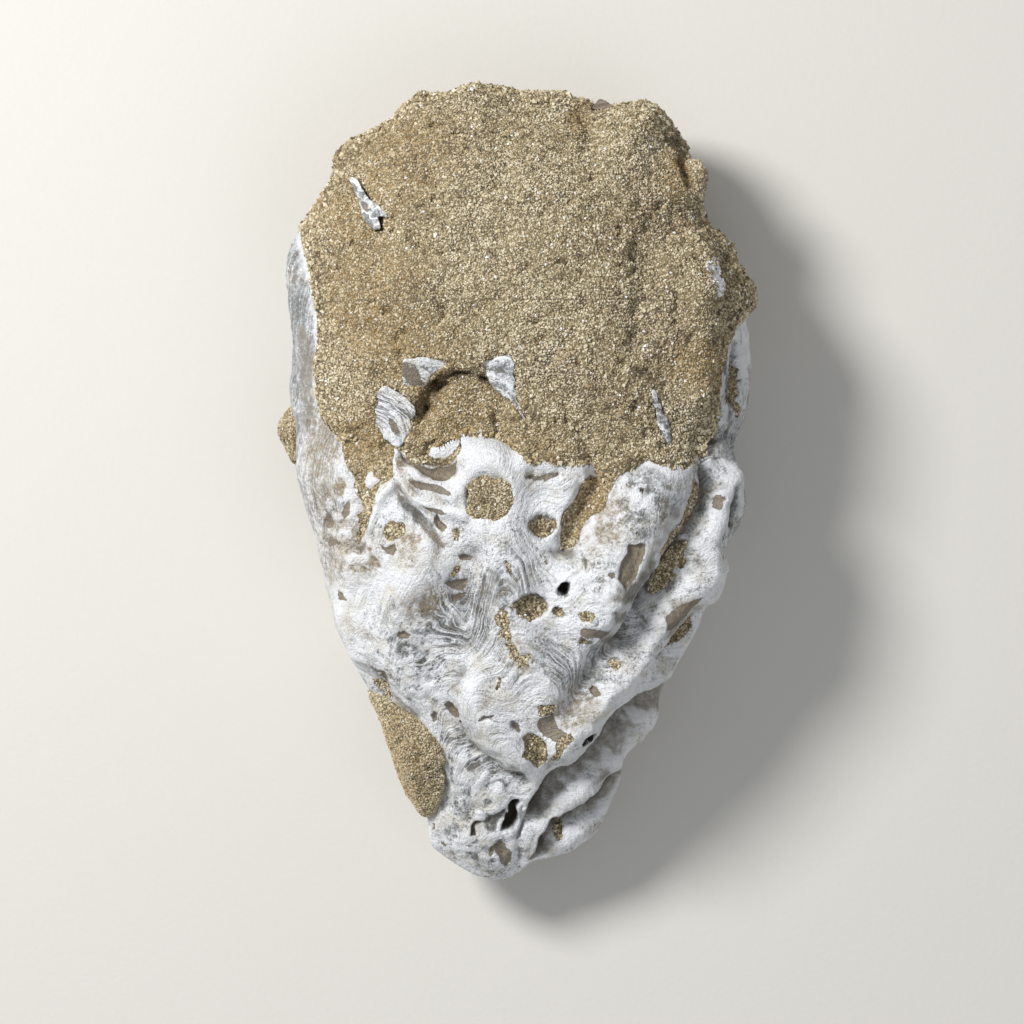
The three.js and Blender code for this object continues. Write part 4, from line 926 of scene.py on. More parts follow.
def growth_age(points, form):
    """Age of the shell at a point, as the distance in mm that the margin had grown there.

    √(y² + (1.9 x)²) from the umbo's tip, lowered where the shell is raised so that lines bow
    outwards over ribs, plus 0.8 of the way down the flanks, or 2.4 of it at the broad end, broad and
    narrow bends, and rings round the bored pits.
    """
    x, y = (points[:, :2] - UMBO_TIP).T
    flank = 0.8 + 1.6 * smooth_step(points[:, 1], -15, 20)
    age = np.sqrt(y**2 + (GROWTH_SQUEEZE * x) ** 2) - GROWTH_BOW * form
    age += flank * (GROWTH_DATUM - points[:, 2])
    age += 2.2 * cloudy(points, 14, 2) + 0.5 * cloudy(points, 4, 2)
    for pit in SHELL_PITS[:GROWTH_RINGS]:
        rings = oval_distance(points[:, :2], pit.spot) / GROWTH_RING_REACH
        age += GROWTH_RING_HEIGHT * np.exp(-(rings**2))
    return age


def way_round(points):
    """How far round the umbo's tip a point lies, as an angle times a mean radius."""
    x, y = (points[:, :2] - UMBO_TIP).T
    return MEAN_GROWTH_RADIUS * np.arctan2(x, y)


def lamella_height(age, spacing, height, points):
    """Overlapping growth sheets: each rises slowly to its free edge and drops there. Their heights
    differ from sheet to sheet and from place to place."""
    band = np.floor(age / spacing).astype(int)
    f = age / spacing - band
    saw = np.minimum(f / SHEET_RISE, (1 - f) / SHEET_DROP)
    tall = np.random.default_rng(SHEET_SEED).random(SHEET_COUNT)[band % SHEET_COUNT]
    patchy = smooth_step(cloudy(points + 40, 16, 2), -0.5, 0.5)
    return height * saw * (0.25 + tall) * (0.35 + patchy)


def dome_over(plan, rim, pole, spine, squareness):
    """Share of the radius, rim height and plain dome height of a body at plan points, found by the
    direction of each point from the pole."""
    loop, _ = rim_loop(rim)
    x, y = (loop[:, :2] - pole).T
    angle = np.arctan2(y, x)
    order = np.argsort(angle)
    px, py = (plan - pole).T
    at = np.arctan2(py, px)
    reach = np.interp(at, angle[order], np.hypot(x, y)[order], period=2 * np.pi)
    rim_height = np.interp(at, angle[order], loop[order, 2], period=2 * np.pi)
    t = np.hypot(px, py) / reach
    return t, rim_height, dome_height(rim_height, spine, plan[:, 1], t, squareness)


def inside_shell(points, depth):
    """Which points are more than the depth under the shell's plain dome and over its underside."""
    t, rim_height, top = dome_over(points[:, :2], SHELL_RIM, SHELL_POLE, SHELL_SPINE, SHELL_SQUARENESS)
    under = floor_height(rim_height, SHELL_FLOOR, t, SHELL_FLAT_SHARE)
    return (t < 1) & (points[:, 2] < top - depth) & (points[:, 2] > under + depth)


def buried_depth(plan):
    """How far in from the sandstone's rim a plan point lies, in mm, below 0 outside it."""
    t = dome_over(plan, SAND_RIM, SAND_POLE, SAND_SPINE, SAND_SQUARENESS)[0]
    return (1 / np.maximum(t, 0.01) - 1) * np.hypot(*(plan - SAND_POLE).T)


def sand_crust(points, wobble):
    """1 where sand still sticks to the shell: under the sandstone, and in patches along its edge."""
    t, _, top = dome_over(points[:, :2], SAND_RIM, SAND_POLE, SAND_SPINE, SAND_SQUARENESS)
    cover = np.where(t < 1, top - points[:, 2], COVER_SCALE * (t - 1))
    return smooth_step(cover + 1.5 * wobble, -0.6, 0.6)


def sand_lumps(points):
    """Relief of broken sandstone: lumps of 12, 4.5 and 2 mm, and hollows of 3 mm where a few fell
    out."""
    lumps = 1.0 * cloudy(points, 12, 2) + 0.75 * cloudy(points + 7, 4.5, 2) + 0.5 * cloudy(points + 3, 2, 2)
    return lumps - 1.3 * smooth_step(cloudy(points + 91, 3, 2), 0.28, 0.75)


def shell_pits(plan, spot_plan, patch_plan, wobble):
    """Depth of the pits and hollows. The round, deep pits keep smoother outlines."""
    pits = np.zeros(len(plan))
    for pit in SHELL_PITS:
        hit = near(plan, [pit.spot[:2]], PIT_REACH * max(pit.spot.length, pit.spot.width))
        place = patch_plan if pit.depth > ROUND_PIT_DEPTH else spot_plan
        pits[hit] = np.minimum(pits[hit], pit_height(place[hit], pit, wobble[hit]))
    for hollow, depth in ((CENTRE_HOLLOW, CENTRE_DEPTH), (GROOVE_HOLLOW, GROOVE_DEPTH)):
        pits -= depth * (1 - smooth_step(oval_distance(plan, hollow), *HOLLOW_WALL))
    return pits


def shell_patches(pits, plan, wobble):
    """Where each kind of patch lies, from 0 to 1. The patches also lower the pits they are given."""
    kinds = sorted({patch.kind for patch in SHELL_PATCHES})
    marks = {kind: np.zeros(len(plan)) for kind in kinds}
    for patch in SHELL_PATCHES:
        hit = near(plan, patch.outline, PATCH_REACH)
        distance = patch_distance(plan[hit], patch.outline) + 0.2 * wobble[hit]
        mark = 1 - smooth_step(distance, -PATCH_EDGE, PATCH_EDGE)
        marks[patch.kind][hit] = np.maximum(marks[patch.kind][hit], mark)
        pits[hit] -= patch.depth * (1 - smooth_step(distance, *PATCH_WALL))
    return marks


def shell_surface(sizes):
    """The shell's body with all its relief, and the marks that its material reads.

    The relief moves each point along its normal. It is the sum of the ribs, grooves and walls, the
    pits and patches, the free edges of the growth sheets, low lumps, sand that sticks to the shell,
    and roughness where it is speckled.
    """
    body = domed_body(SHELL_RIM, SHELL_POLE, SHELL_SPINE, SHELL_SQUARENESS, SHELL_FLAT_SHARE, SHELL_FLOOR,
                      sizes.shell_grid, hidden_stretch=SHELL_HIDDEN_STRETCH)
    base = body.points
    wander = wandering(base, WANDER_SIZE)
    ragged = wandering(base, RAGGED_SIZE, shifts=(7, 57))
    wobble = cloudy(base + 9, RAGGED_SIZE)
    plan = base[:, :2] + PLAN_WANDER * wander
    spot_plan = base[:, :2] + SPOT_WANDER * wander + SPOT_RAGGED * ragged
    patch_plan = base[:, :2] + PATCH_RAGGED * ragged
    fade = np.where(body.upper, 1 - smooth_step(body.radius, *SHELL_FADE), 0)
    buried = buried_depth(plan)
    form = shell_form(plan) * fade
    age = growth_age(base, form)
    pits = shell_pits(plan, spot_plan, patch_plan, wobble)
    marks = shell_patches(pits, patch_plan, wobble)
    pits *= fade
    pits -= BURIED_DROP * smooth_step(buried, *BURIED_RAMP) * body.upper * (1 - marks["sand"])

    streaks = strip_mask(spot_plan, SAND_STREAKS, wobble + 2.2 * cloudy(base + 63, 1.1, 2), SOFT)
    sand = np.maximum.reduce([marks["sand"], spot_mask(spot_plan, SAND_SPOTS, wobble), streaks])
    sand = sand * fade * (1 - marks["bare"])
    brown = np.maximum(marks["brown"], spot_mask(spot_plan, BROWN_SPOTS, wobble)) * fade
    # deep: painted shade, the dark of the shadow in holes and cracks.
    deep = np.maximum(marks["deep"], spot_mask(spot_plan, HOLE_SHADE_SPOTS, 0.5 * wobble, 0.3))
    deep = np.maximum(deep, 0.6 * strip_mask(spot_plan, CRACK_SHADE_STRIPS, 0.4 * wobble, 0.6))
    grey = np.maximum(spot_mask(plan, GREY_AND_SHADE_SPOTS, wobble, SOFT), strip_mask(plan, GREY_AND_SHADE_STRIPS, wobble, SOFT))
    white = spot_mask(plan, WHITE_SPOTS, wobble, SOFT)
    edges = np.maximum(marks["white"], strip_mask(patch_plan, WHITE_STRIPS, wobble, 0.4))
    white = np.maximum(white, 1.6 * np.maximum(edges, marks["bare"])) * (1 - marks["grey"])
    grey = np.maximum(grey * (1 - edges), 1.5 * marks["grey"])
    lined = spot_mask(plan, LINED_SPOTS, wobble, SOFT)
    tan = np.maximum(spot_mask(plan, BROAD_TAN_SPOTS, wobble, 0.6), 1.5 * marks["tan"])
    shade = strip_mask(plan, SHADE_STRIPS, 0.6 * wobble, 0.35)
    speckled = spot_mask(plan, SPECKLED_SPOTS, wobble, SOFT)

    spacing, height = sizes.line_spacing / MM, sizes.line_height / MM
    sheets = lamella_height(age, spacing, height, base)
    sheets += lamella_height(age + 50, FINE_SHEET_SPACING * spacing, FINE_SHEET_HEIGHT * height, base)
    sheets *= (1 - np.maximum(sand, brown)) * (1 - 0.8 * speckled) * (0.35 + 0.65 * lined)
    rough = 0.7 * np.minimum(cloudy(base + 77, 2.4), 0.25)
    button = BUTTON_RISE * (1 - smooth_step(oval_distance(plan, BUTTON), *HOLLOW_WALL)) * fade
    lumps = 0.5 * cloudy(base, 10) + 0.22 * cloudy(base + 5, 3)
    crust = CRUST_LUMPS * sand_lumps(base) * sand
    crust += CRUST_RISE * smooth_step(buried, *CRUST_RAMP) * marks["sand"] * fade
    relief = form + pits + sheets + lumps + button + crust + rough * speckled
    raised_body = raised(body, relief)
    points = raised_body.points
    points[:, 2] = np.maximum(points[:, 2], 0)
    return raised_body, ShellMarks(
        growth=age, around=way_round(base), brown=brown, deep=deep, grey=grey, white=white, tan=tan,
        shade=shade, speckled=speckled, lined=lined,
        sand=np.maximum(sand, sand_crust(points, cloudy(base + 3, 3)) * body.upper),
        # raised: painted shade in the hollows, and lighter where the relief stands proud.
        raised=standing_proud(relief, body, PROUD_ROUNDS, PROUD_FULL),
    )


def recess_height(plan, wobble):
    """A round recess: a wall on its upper left, undercut by a thin arc and a pocket, and a floor
    that rises to nothing at its lower right."""
    r = oval_distance(plan, RECESS) * (1 + 0.05 * wobble)
    along = ((plan - RECESS[:2]) @ np.array(RECESS_SLANT)) / RECESS.length
    depth = RECESS_DEPTH * (1 - smooth_step(along, -0.7, 0.5))
    bowl = -depth * (1 - smooth_step(r, 0.90, 1.02))
    cuts = ridge_height(plan, RECESS_CUT) + ridge_height(plan, RECESS_POCKET)
    return bowl + cuts * (1 + 0.9 * wobble)


def sandstone_surface(sizes, seats=True):
    """The sandstone's body with its lumps, ledges and recess, and a shallow seat under each chip."""
    body = domed_body(SAND_RIM, SAND_POLE, SAND_SPINE, SAND_SQUARENESS, SAND_FLAT_SHARE, SAND_FLOOR,
                      sizes.sand_grid)
    base = body.points
    plan = base[:, :2] + SAND_WANDER * wandering(base, SAND_WANDER_SIZE)
    crumbled = plan + SAND_WANDER * wandering(base, 2, shifts=(11, 41), octaves=2)
    fade = np.where(body.upper, 1 - smooth_step(body.radius, *SAND_FADE), 0)
    relief = sum(ridge_height(plan, ridge) for ridge in SAND_RELIEF)
    relief = (relief + recess_height(crumbled, cloudy(base + 9, 3))) * fade + sand_lumps(base)
    front = smooth_step(body.radius, 0.8, 0.95) * smooth_step(plan[:, 1], 20, 8)
    relief += front * 1.3 * cloudy(base + 71, 4.5)
    for chip in CHIPS if seats else ():
        hit = near(plan, chip.outline, PATCH_REACH)
        distance = patch_distance(base[hit, :2], chip.outline)
        relief[hit] -= CHIP_SEAT * (1 - smooth_step(distance, *SEAT_EDGE))
    raised_body = raised(body, relief)
    raised_body.points[:, 2] = np.maximum(raised_body.points[:, 2], 0)
    return raised_body


# ---- Sand -------------------------------------------------------------------------------------

GRAIN_CORNERS = np.vstack([np.eye(3), -np.eye(3)])
GRAIN_FACES = np.array([
    (0, 1, 2), (1, 3, 2), (3, 4, 2), (4, 0, 2), (1, 0, 5), (3, 1, 5), (4, 3, 5), (0, 4, 5),
])
GRAIN_SIZE_SPREAD = 0.22         # of the logarithm of a grain's radius
GRAIN_STRETCH = (0.75, 1.35)     # how far a corner lies from the middle, in radii
GRAIN_SKEW = 0.18
SINK_SPREAD = 0.3
TRIES_PER_CUBE = 5
CUBE_SHIFT, CUBE_ROW = 4096, 8192            # they make one whole number of a cube's three places

# dark carries painted shade: grains darkened where they lie in shadow.
GrainMarks = namedtuple("GrainMarks", "tint rust pale dark")


def scattered(body, keep, spacing, seed):
    """Random places on the body's kept faces, at most one in each cube of the spacing, with the
    body's normals there."""
    faces = triangles(body.quads, body.tris)
    faces = faces[keep[faces].all(axis=1)]
    corner = body.points[faces]
    area = np.linalg.norm(np.cross(corner[:, 1] - corner[:, 0], corner[:, 2] - corner[:, 0]), axis=1) / 2
    total = np.cumsum(area)
    random = np.random.default_rng(seed)
    count = int(TRIES_PER_CUBE * total[-1] / spacing**2)
    pick = np.searchsorted(total, random.random(count) * total[-1])
    share = random.random((count, 2))
    share = np.where(share.sum(axis=1, keepdims=True) > 1, 1 - share, share)
    weight = np.column_stack([1 - share.sum(axis=1), share])[..., None]
    places = (corner[pick] * weight).sum(axis=1)
    normals = (body.normals[faces[pick]] * weight).sum(axis=1)
    cube = np.floor(places / spacing).astype(np.int64) + CUBE_SHIFT
    number = (cube[:, 0] * CUBE_ROW + cube[:, 1]) * CUBE_ROW + cube[:, 2]
    _, first = np.unique(number, return_index=True)
    return places[first], normals[first]


def grain_mesh(places, normals, radius, sink, seed):
    """Angular grains: octahedra with each corner drawn in or out, turned at random and sunk into
    the surface by a share of their radius. Gives their points, their faces and a number for each
    grain from 0 to 1."""
    random = np.random.default_rng(seed)
    count = len(places)
    size = radius * np.exp(random.normal(0, GRAIN_SIZE_SPREAD, count))
    corners = GRAIN_CORNERS * size[:, None, None] * random.uniform(*GRAIN_STRETCH, (count, 6, 1))
    corners += random.normal(0, GRAIN_SKEW, (count, 6, 3)) * size[:, None, None]
    turn = np.linalg.qr(random.normal(size=(count, 3, 3)))[0]
    turn *= np.sign(np.linalg.det(turn))[:, None, None]
    depth = size * random.uniform(sink - SINK_SPREAD, sink + SINK_SPREAD, count)
    centre = places - normals * depth[:, None]
    points = np.einsum("nij,nkj->nki", turn, corners) + centre[:, None]
    faces = GRAIN_FACES + 6 * np.arange(count)[:, None, None]
    return points.reshape(-1, 3), faces.reshape(-1, 3), random.random(count)


# ---- Colours and nodes ------------------------------------------------------------------------

# The nodes that the materials use most, with the settings that they always have.
NODE_KINDS = {
    "attribute": ("ShaderNodeAttribute", {}),
    "noise": ("ShaderNodeTexNoise", {}),
    "mix": ("ShaderNodeMix", {"data_type": "RGBA"}),
    "range": ("ShaderNodeMapRange", {"clamp": True}),
    **{
        name: ("ShaderNodeMath", {"operation": name.upper()})
        for name in ("add", "multiply", "divide", "multiply_add", "pingpong")
    },
}


def linear(hex_colour):
    """An sRGB hex colour as linear red, green and blue."""
    srgb = np.array([int(hex_colour[k : k + 2], 16) for k in (1, 3, 5)]) / 255
    return tuple(np.where(srgb <= 0.04045, srgb / 12.92, ((srgb + 0.055) / 1.055) ** 2.4).tolist())


def per_metre(size):
    """The scale that gives a texture features of a size in mm, on coordinates in metres."""
    return 1 / (size * MM)


def add_node(tree, kind, *values, named=(), **settings):
    """Adds a node with its settings, and fills its inputs with values or links.

    The values go to the inputs in the order in which the node shows them, and those in named go to
    the inputs of those names. A node given as a value is linked from the first output it shows.
    """
    kind, usual = NODE_KINDS.get(kind, (kind, {}))
    made = tree.nodes.new(kind)
    for name, setting in {**usual, **settings}.items():
        setattr(made, name, setting)
    filled = list(zip([socket for socket in made.inputs if socket.enabled], values))
    filled += [(made.inputs[name], value) for name, value in dict(named).items()]
    for socket, value in filled:
        if isinstance(value, bpy.types.Node):
            value = next(output for output in value.outputs if output.enabled)
        if isinstance(value, bpy.types.NodeSocket):
            tree.links.new(value, socket)
        elif socket.type == "RGBA":
            socket.default_value = (*value[:3], 1)
        else:
            socket.default_value = value
    return made


def new_material(name):
    """An empty material, with what adds a node to it and its coordinates in metres."""
    material = bpy.data.materials.new(name)
    material.use_nodes = True
    material.node_tree.nodes.clear()
    node = partial(add_node, material.node_tree)
    return material, node, node("ShaderNodeTexCoord").outputs["Object"]


def finish_material(node, colour, roughness, height, relief, specular=0.5):
    """Principled surface whose height, from 0 to 1, stands up by the relief in mm."""
    bump = node("ShaderNodeBump", named={"Height": height, "Distance": relief * MM, "Strength": 1.0})
    surface = node("ShaderNodeBsdfPrincipled", named={
        "Base Color": colour, "Roughness": roughness, "Specular IOR Level": specular, "Normal": bump,
    })
    node("ShaderNodeOutputMaterial", surface)


# ---- Materials --------------------------------------------------------------------------------

# Cloudy noises in the calcite: size in mm, detail and roughness. Real dust is finer than 0.38 mm, and
# is drawn as coarse as it needs to show.
CALCITE_NOISES = {
    "bends": (4.0, 2.5, 0.55),
    "cream": (5.0, 2.0, 0.55),
    "density": (3.0, 3.0, 0.55),
    "stain": (6.0, 3.0, 0.55),
    "patches": (7.0, 5.0, 0.65),
    "blotch": (3.2, 6.0, 0.75),
    "mottle": (1.3, 5.0, 0.7),
    "specks": (1.1, 4.0, 0.7),
    "fleck": (0.65, 3.0, 0.7),
    "dust": (0.38, 2.0, 0.7),
}
# Streaks along the growth lines: width and length in mm, and detail.
CALCITE_STREAKS = {
    "broad": (2.4, 16.0, 3.0),
    "fine": (0.55, 12.0, 2.0),
    "hair": (0.30, 10.0, 1.0),
}
SHEET_LINE = 0.65                # half the distance between the drawn edges of sheets, in mm
SAND_CELL = 0.55                 # mm across a grain that is only drawn


def sand_cells(node, place, colours):
    """Colour and height of packed grains: cells of about a grain's size, each of its own tint, with
    darker cement between them."""
    cells = node("ShaderNodeTexVoronoi", place, per_metre(SAND_CELL))
    tint = node("ShaderNodeSeparateColor", cells.outputs["Color"])
    drift = node("noise", place, per_metre(14.0), 3.0, 0.55)
    grain = node("mix", node("range", tint, 0.0, 0.45), colours.rust_quartz, colours.honey_quartz)
    grain = node("mix", node("range", tint, 0.5, 1.0), grain, colours.clear_quartz)
    cement = node("mix", node("range", drift, 0.35, 0.65), colours.sand_bed, colours.crevice)
    gap = node("range", cells.outputs["Distance"], 0.25, 0.60)
    height = node("range", cells.outputs["Distance"], 0.0, 0.6, 1.0, 0.0)
    return node("mix", gap, grain, cement), height


def chalky_shell_material(colours, name="chalky_calcite"):
    """Fossil oyster shell: sheets of calcite, weathered chalky. It scatters light softly, white on
    ribs and bluish grey between them, streaked along growth lines as thin as 0.3 mm.

    Each stretch of a pattern is given as where it starts and ends and what its two ends become.
    """
    material, node, place = new_material(name)
    mark = ShellMarks(*(
        node("attribute", attribute_name=label).outputs["Fac"] for label in ShellMarks._fields
    ))
    noise = SimpleNamespace(**{
        label: node("noise", place, per_metre(size), detail, roughness)
        for label, (size, detail, roughness) in CALCITE_NOISES.items()
    })
    growth = node("add", mark.growth, node("multiply", noise.bends, 1.6))
    streak = SimpleNamespace()
    for label, (width, length, detail) in CALCITE_STREAKS.items():
        across, along = node("divide", growth, width), node("divide", mark.around, length)
        setattr(streak, label, node("noise", node("ShaderNodeCombineXYZ", across, along), 1.0, detail))
    edges = node("pingpong", node("multiply_add", streak.broad, 5.0, growth), SHEET_LINE)
    sheet = node("divide", edges, SHEET_LINE)

    # From white chalk at 0 to dense grey calcite at 1.
    blotched = node("multiply", mark.speckled, node("range", noise.blotch, 0.42, 0.60, -1.15, 0.95))
    plain = node("multiply_add", mark.lined, 0.85, 0.15)
    fine_lines = node("multiply", plain, node("range", streak.fine, 0.40, 0.60, -0.32, 0.32))
    flecks = node("range", noise.fleck, 0.36, 0.64, -0.42, 0.42)
    grain = node("add", flecks, node("range", noise.dust, 0.35, 0.65, -0.22, 0.22))
    grey = node("multiply_add", mark.grey, 0.75, -0.30)
    for part in (
        blotched,
        node("range", noise.patches, 0.40, 0.66, 0.0, 0.55),
        node("range", streak.broad, 0.38, 0.62, -0.1, 0.45),
        node("range", noise.mottle, 0.36, 0.64, -0.25, 0.25),
        fine_lines,
        node("multiply", node("range", mark.grey, 0.2, 1.0, 1.0, 0.5), grain),
    ):
        grey = node("add", grey, part)
    grey = node("multiply_add", mark.white, -0.55, grey)
    darkest = node("range", grey, 0.95, 1.5, 0.0, 0.85)
    grey = node("range", grey, 0.0, 0.9)
    creamy = node("range", noise.cream, 0.48, 0.66, 0.0, 0.8)
    chalk = node("mix", creamy, colours.chalk, colours.cream_chalk)
    dense = node("mix", node("range", noise.density, 0.40, 0.60), colours.grey_calcite, colours.dark_calcite)
    dense = node("mix", darkest, dense, colours.line_grey)
    colour = node("mix", grey, chalk, dense)

    # Bright and dark growth lines.
    bright = node("multiply", node("range", sheet, 0.66, 0.86, 0.0, 0.9), node("range", grey, 0.1, 0.5))
    colour = node("mix", node("multiply", bright, plain), colour, colours.chalk)
    soiled = node("range", noise.patches, 0.3, 0.6, 0.1, 1.0)
    dark = node("multiply", node("range", streak.hair, 0.45, 0.36), soiled)
    dark = node("multiply", dark, node("multiply", plain, 0.9))
    colour = node("mix", dark, colour, colours.line_grey)

    # Stains, painted shade under the ledges, painted shade in the hollows and lighter places where the
    # surface stands proud.
    tan = node("add", mark.tan, node("range", noise.stain, 0.54, 0.70, 0.0, 0.6))
    tan = node("multiply", tan, node("range", noise.mottle, 0.36, 0.60, 0.1, 0.85))
    stain = node("mix", node("range", noise.dust, 0.35, 0.65), colours.tan_stain, colours.brown_stone)
    colour = node("mix", tan, colour, stain)
    shaded = node("multiply", mark.shade, node("range", noise.mottle, 0.3, 0.6, 0.6, 0.95))
    colour = node("mix", shaded, colour, colours.shade_grey)
    # Painted shade: darker where the relief lies below the relief round it. Lighter where it stands above
    # it.
    colour = node("mix", node("range", mark.raised, -0.10, -0.90, 0.0, 0.7), colour, colours.crevice)
    colour = node("mix", node("range", mark.raised, 0.05, 0.40, 0.0, 0.7), colour, colours.chalk)
    specks = node("range", node("multiply_add", mark.speckled, 0.04, noise.specks), 0.67, 0.74, 0.0, 0.6)
    colour = node("mix", specks, colour, colours.crevice)

    # What fills the pits: mud with painted shade darkening it towards its edges, sand, and painted shade:
    # the dark of the shadow in deep holes.
    ragged = node("multiply_add", noise.fleck, 0.7, -0.35)
    filled = node("add", mark.brown, ragged)
    clay = node("range", noise.mottle, 0.40, 0.70, 0.0, 0.6)
    mud = node("mix", clay, colours.brown_stone, colours.tan_stain)
    mud = node("mix", node("range", noise.fleck, 0.50, 0.35, 0.0, 0.5), mud, colours.line_grey)
    # Painted shade: the mud darkens towards the patch's edges as if in the shadow of its rim.
    mud = node("mix", node("range", filled, 0.85, 0.55, 0.0, 0.75), mud, colours.crevice)
    colour = node("mix", node("range", filled, 0.40, 0.60, 0.0, 0.92), colour, mud)
    bed, _ = sand_cells(node, place, colours)
    colour = node("mix", node("range", node("add", mark.sand, ragged), 0.40, 0.60), colour, bed)
    colour = node("mix", node("range", mark.deep, 0.3, 0.7), colour, colours.hole)

    height = node("multiply", noise.dust, 0.35)
    for pattern, share in ((streak.fine, 0.55), (noise.mottle, 0.70), (noise.fleck, 0.45), (specks, -0.6)):
        height = node("multiply_add", pattern, share, height)
    roughness = node("range", noise.mottle, 0.3, 0.7, 0.55, 0.80)
    finish_material(node, colour, roughness, height, relief=0.6, specular=0.35)
    return material


def sand_bed_material(colours):
    """Sandstone under its loose top grains: packed quartz in a darker clay and iron cement, matt."""
    material, node, place = new_material("sandstone_cement")
    colour, height = sand_cells(node, place, colours)
    finish_material(node, colour, 0.8, height, relief=0.4, specular=0.3)
    return material


def quartz_sand_material(colours):
    """Quartz and feldspar grains: clear and honey ones glint, rusty and dark ones are dull."""
    material, node, place = new_material("quartz_sand")
    mark = GrainMarks(*(
        node("attribute", attribute_name=label).outputs["Fac"] for label in GrainMarks._fields
    ))
    drift = node("range", node("noise", place, per_metre(16.0), 3.0, 0.55), 0.3, 0.7, -0.12, 0.12)
    clumps = node("range", node("noise", place, per_metre(2.6), 3.0, 0.55), 0.35, 0.65, -0.2, 0.2)
    shifted = node("add", node("multiply_add", mark.pale, 0.24, drift), clumps)
    # Painted shade: the dark mark pushes grains in shadow towards the dark colours.
    shifted = node("multiply_add", mark.dark, -0.7, shifted)
    shifted = node("add", mark.tint, shifted)
    colour = node("mix", node("range", shifted, 0.02, 0.16), colours.dark_grain, colours.rust_quartz)
    colour = node("mix", node("range", shifted, 0.22, 0.45), colour, colours.honey_quartz)
    colour = node("mix", node("range", shifted, 0.55, 0.88), colour, colours.clear_quartz)
    colour = node("mix", node("range", mark.tint, 0.982, 0.99), colour, colours.chalk)
    rust = node("multiply", mark.rust, node("range", mark.tint, 0.2, 1.0, 0.50, 0.22))
    colour = node("mix", rust, colour, colours.iron_stain)
    cloud = node("noise", place, per_metre(0.5), 2.0, 0.55)
    roughness = node("range", mark.tint, 0.2, 0.9, 0.8, 0.5)
    finish_material(node, colour, roughness, cloud, relief=0.10, specular=0.4)
    return material


def brown_stone_material(colours):
    """Ironstone chip: dense and brown with a dull sheen."""
    material, node, place = new_material("brown_ironstone")
    mottle = node("noise", place, per_metre(1.8), 4.0, 0.55)
    colour = node("mix", node("range", mottle, 0.35, 0.65), colours.brown_stone, colours.crevice)
    finish_material(node, colour, node("range", mottle, 0.3, 0.7, 0.45, 0.7), mottle, relief=0.25)
    return material


def floor_material(colours):
    """Painted board: matt and pale, with the faint stipple of a roller."""
    material, node, place = new_material("painted_board")
    stipple = node("noise", place, per_metre(1.2), 2.0, 0.55)
    colour = node("mix", node("range", stipple, 0.3, 0.7, 0.0, 0.06), colours.floor, colours.clear_quartz)
    finish_material(node, colour, 0.9, stipple, relief=0.05)
    return material


# ---- Pieces -----------------------------------------------------------------------------------

# Seeds of the grains' places and of their shapes.
SHELL_SAND_SEEDS = (11, 12)
SANDSTONE_SEED = 21
FILLING_SEED = 31
FILLING_GRAIN_SEED = 71
CRYSTAL_SEEDS = (61, 62)

GRAIN_SINK = 0.25                # how deep a grain sits in the stone, in radii
SHELL_GRAIN_SINK = 0.2
RIM_GRAIN_SHARE = 1.5            # size of the grains on the sandstone's sides over those on top
LOWEST_GRAIN = 2.0               # mm over the floor
SMALL_GRAIN_SHARE = 0.75
FILLING_GRID, UMBO_PATCH_GRID, SIDE_LUMP_GRID, PEBBLE_GRID, CHIP_GRID = 48, 72, 40, 40, 56
CHIP_EDGE_DROP = 0.5
CHIP_UNEVENNESS = 0.15
CHIP_FIT_REACH = 5.0
CHIP_SHEET_SPACING, CHIP_SHEET_HEIGHT = 1.3, 0.3
CHIP_PROUD_ROUNDS, CHIP_PROUD_FULL = 12, 0.6
CRYSTAL_WHITENESS = 2.4

# A body of stone: how high its lumps are, the size of its grains, and whether its sides have any.
Stone = namedtuple("Stone", "name node body lumps fineness sides")
STONE_LUMPS, UMBO_PATCH_LUMPS = 0.35, 0.6


def add_object(name, data):
    """Puts a mesh, a light or a camera into the scene."""
    made = bpy.data.objects.new(name, data)
    bpy.context.scene.collection.objects.link(made)
    return made


def add_piece(name, points, faces, material, slot, node=None, smooth=True, **attributes):
    """Writes points in mm and faces to a mesh with point attributes, and fixes it to the model."""
    mesh = bpy.data.meshes.new(name)
    corners = np.concatenate([part.ravel() for part in faces])
    sizes = np.concatenate([np.full(len(part), part.shape[1]) for part in faces])
    starts = np.concatenate([[0], np.cumsum(sizes)[:-1]])
    mesh.vertices.add(len(points))
    mesh.vertices.foreach_set("co", (points * MM).astype(np.float32).ravel())
    mesh.loops.add(len(corners))
    mesh.loops.foreach_set("vertex_index", corners.astype(np.int32))
    mesh.polygons.add(len(sizes))
    mesh.polygons.foreach_set("loop_start", starts.astype(np.int32))
    mesh.polygons.foreach_set("use_smooth", np.full(len(sizes), smooth))
    for label, values in attributes.items():
        layer = mesh.attributes.new(label, "FLOAT", "POINT")
        layer.data.foreach_set("value", values.astype(np.float32))
    mesh.update(calc_edges=True)
    mesh.validate()
    mesh.materials.append(material)
    piece = add_object(name, mesh)
    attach(piece, "root")
    if node:
        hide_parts(node)


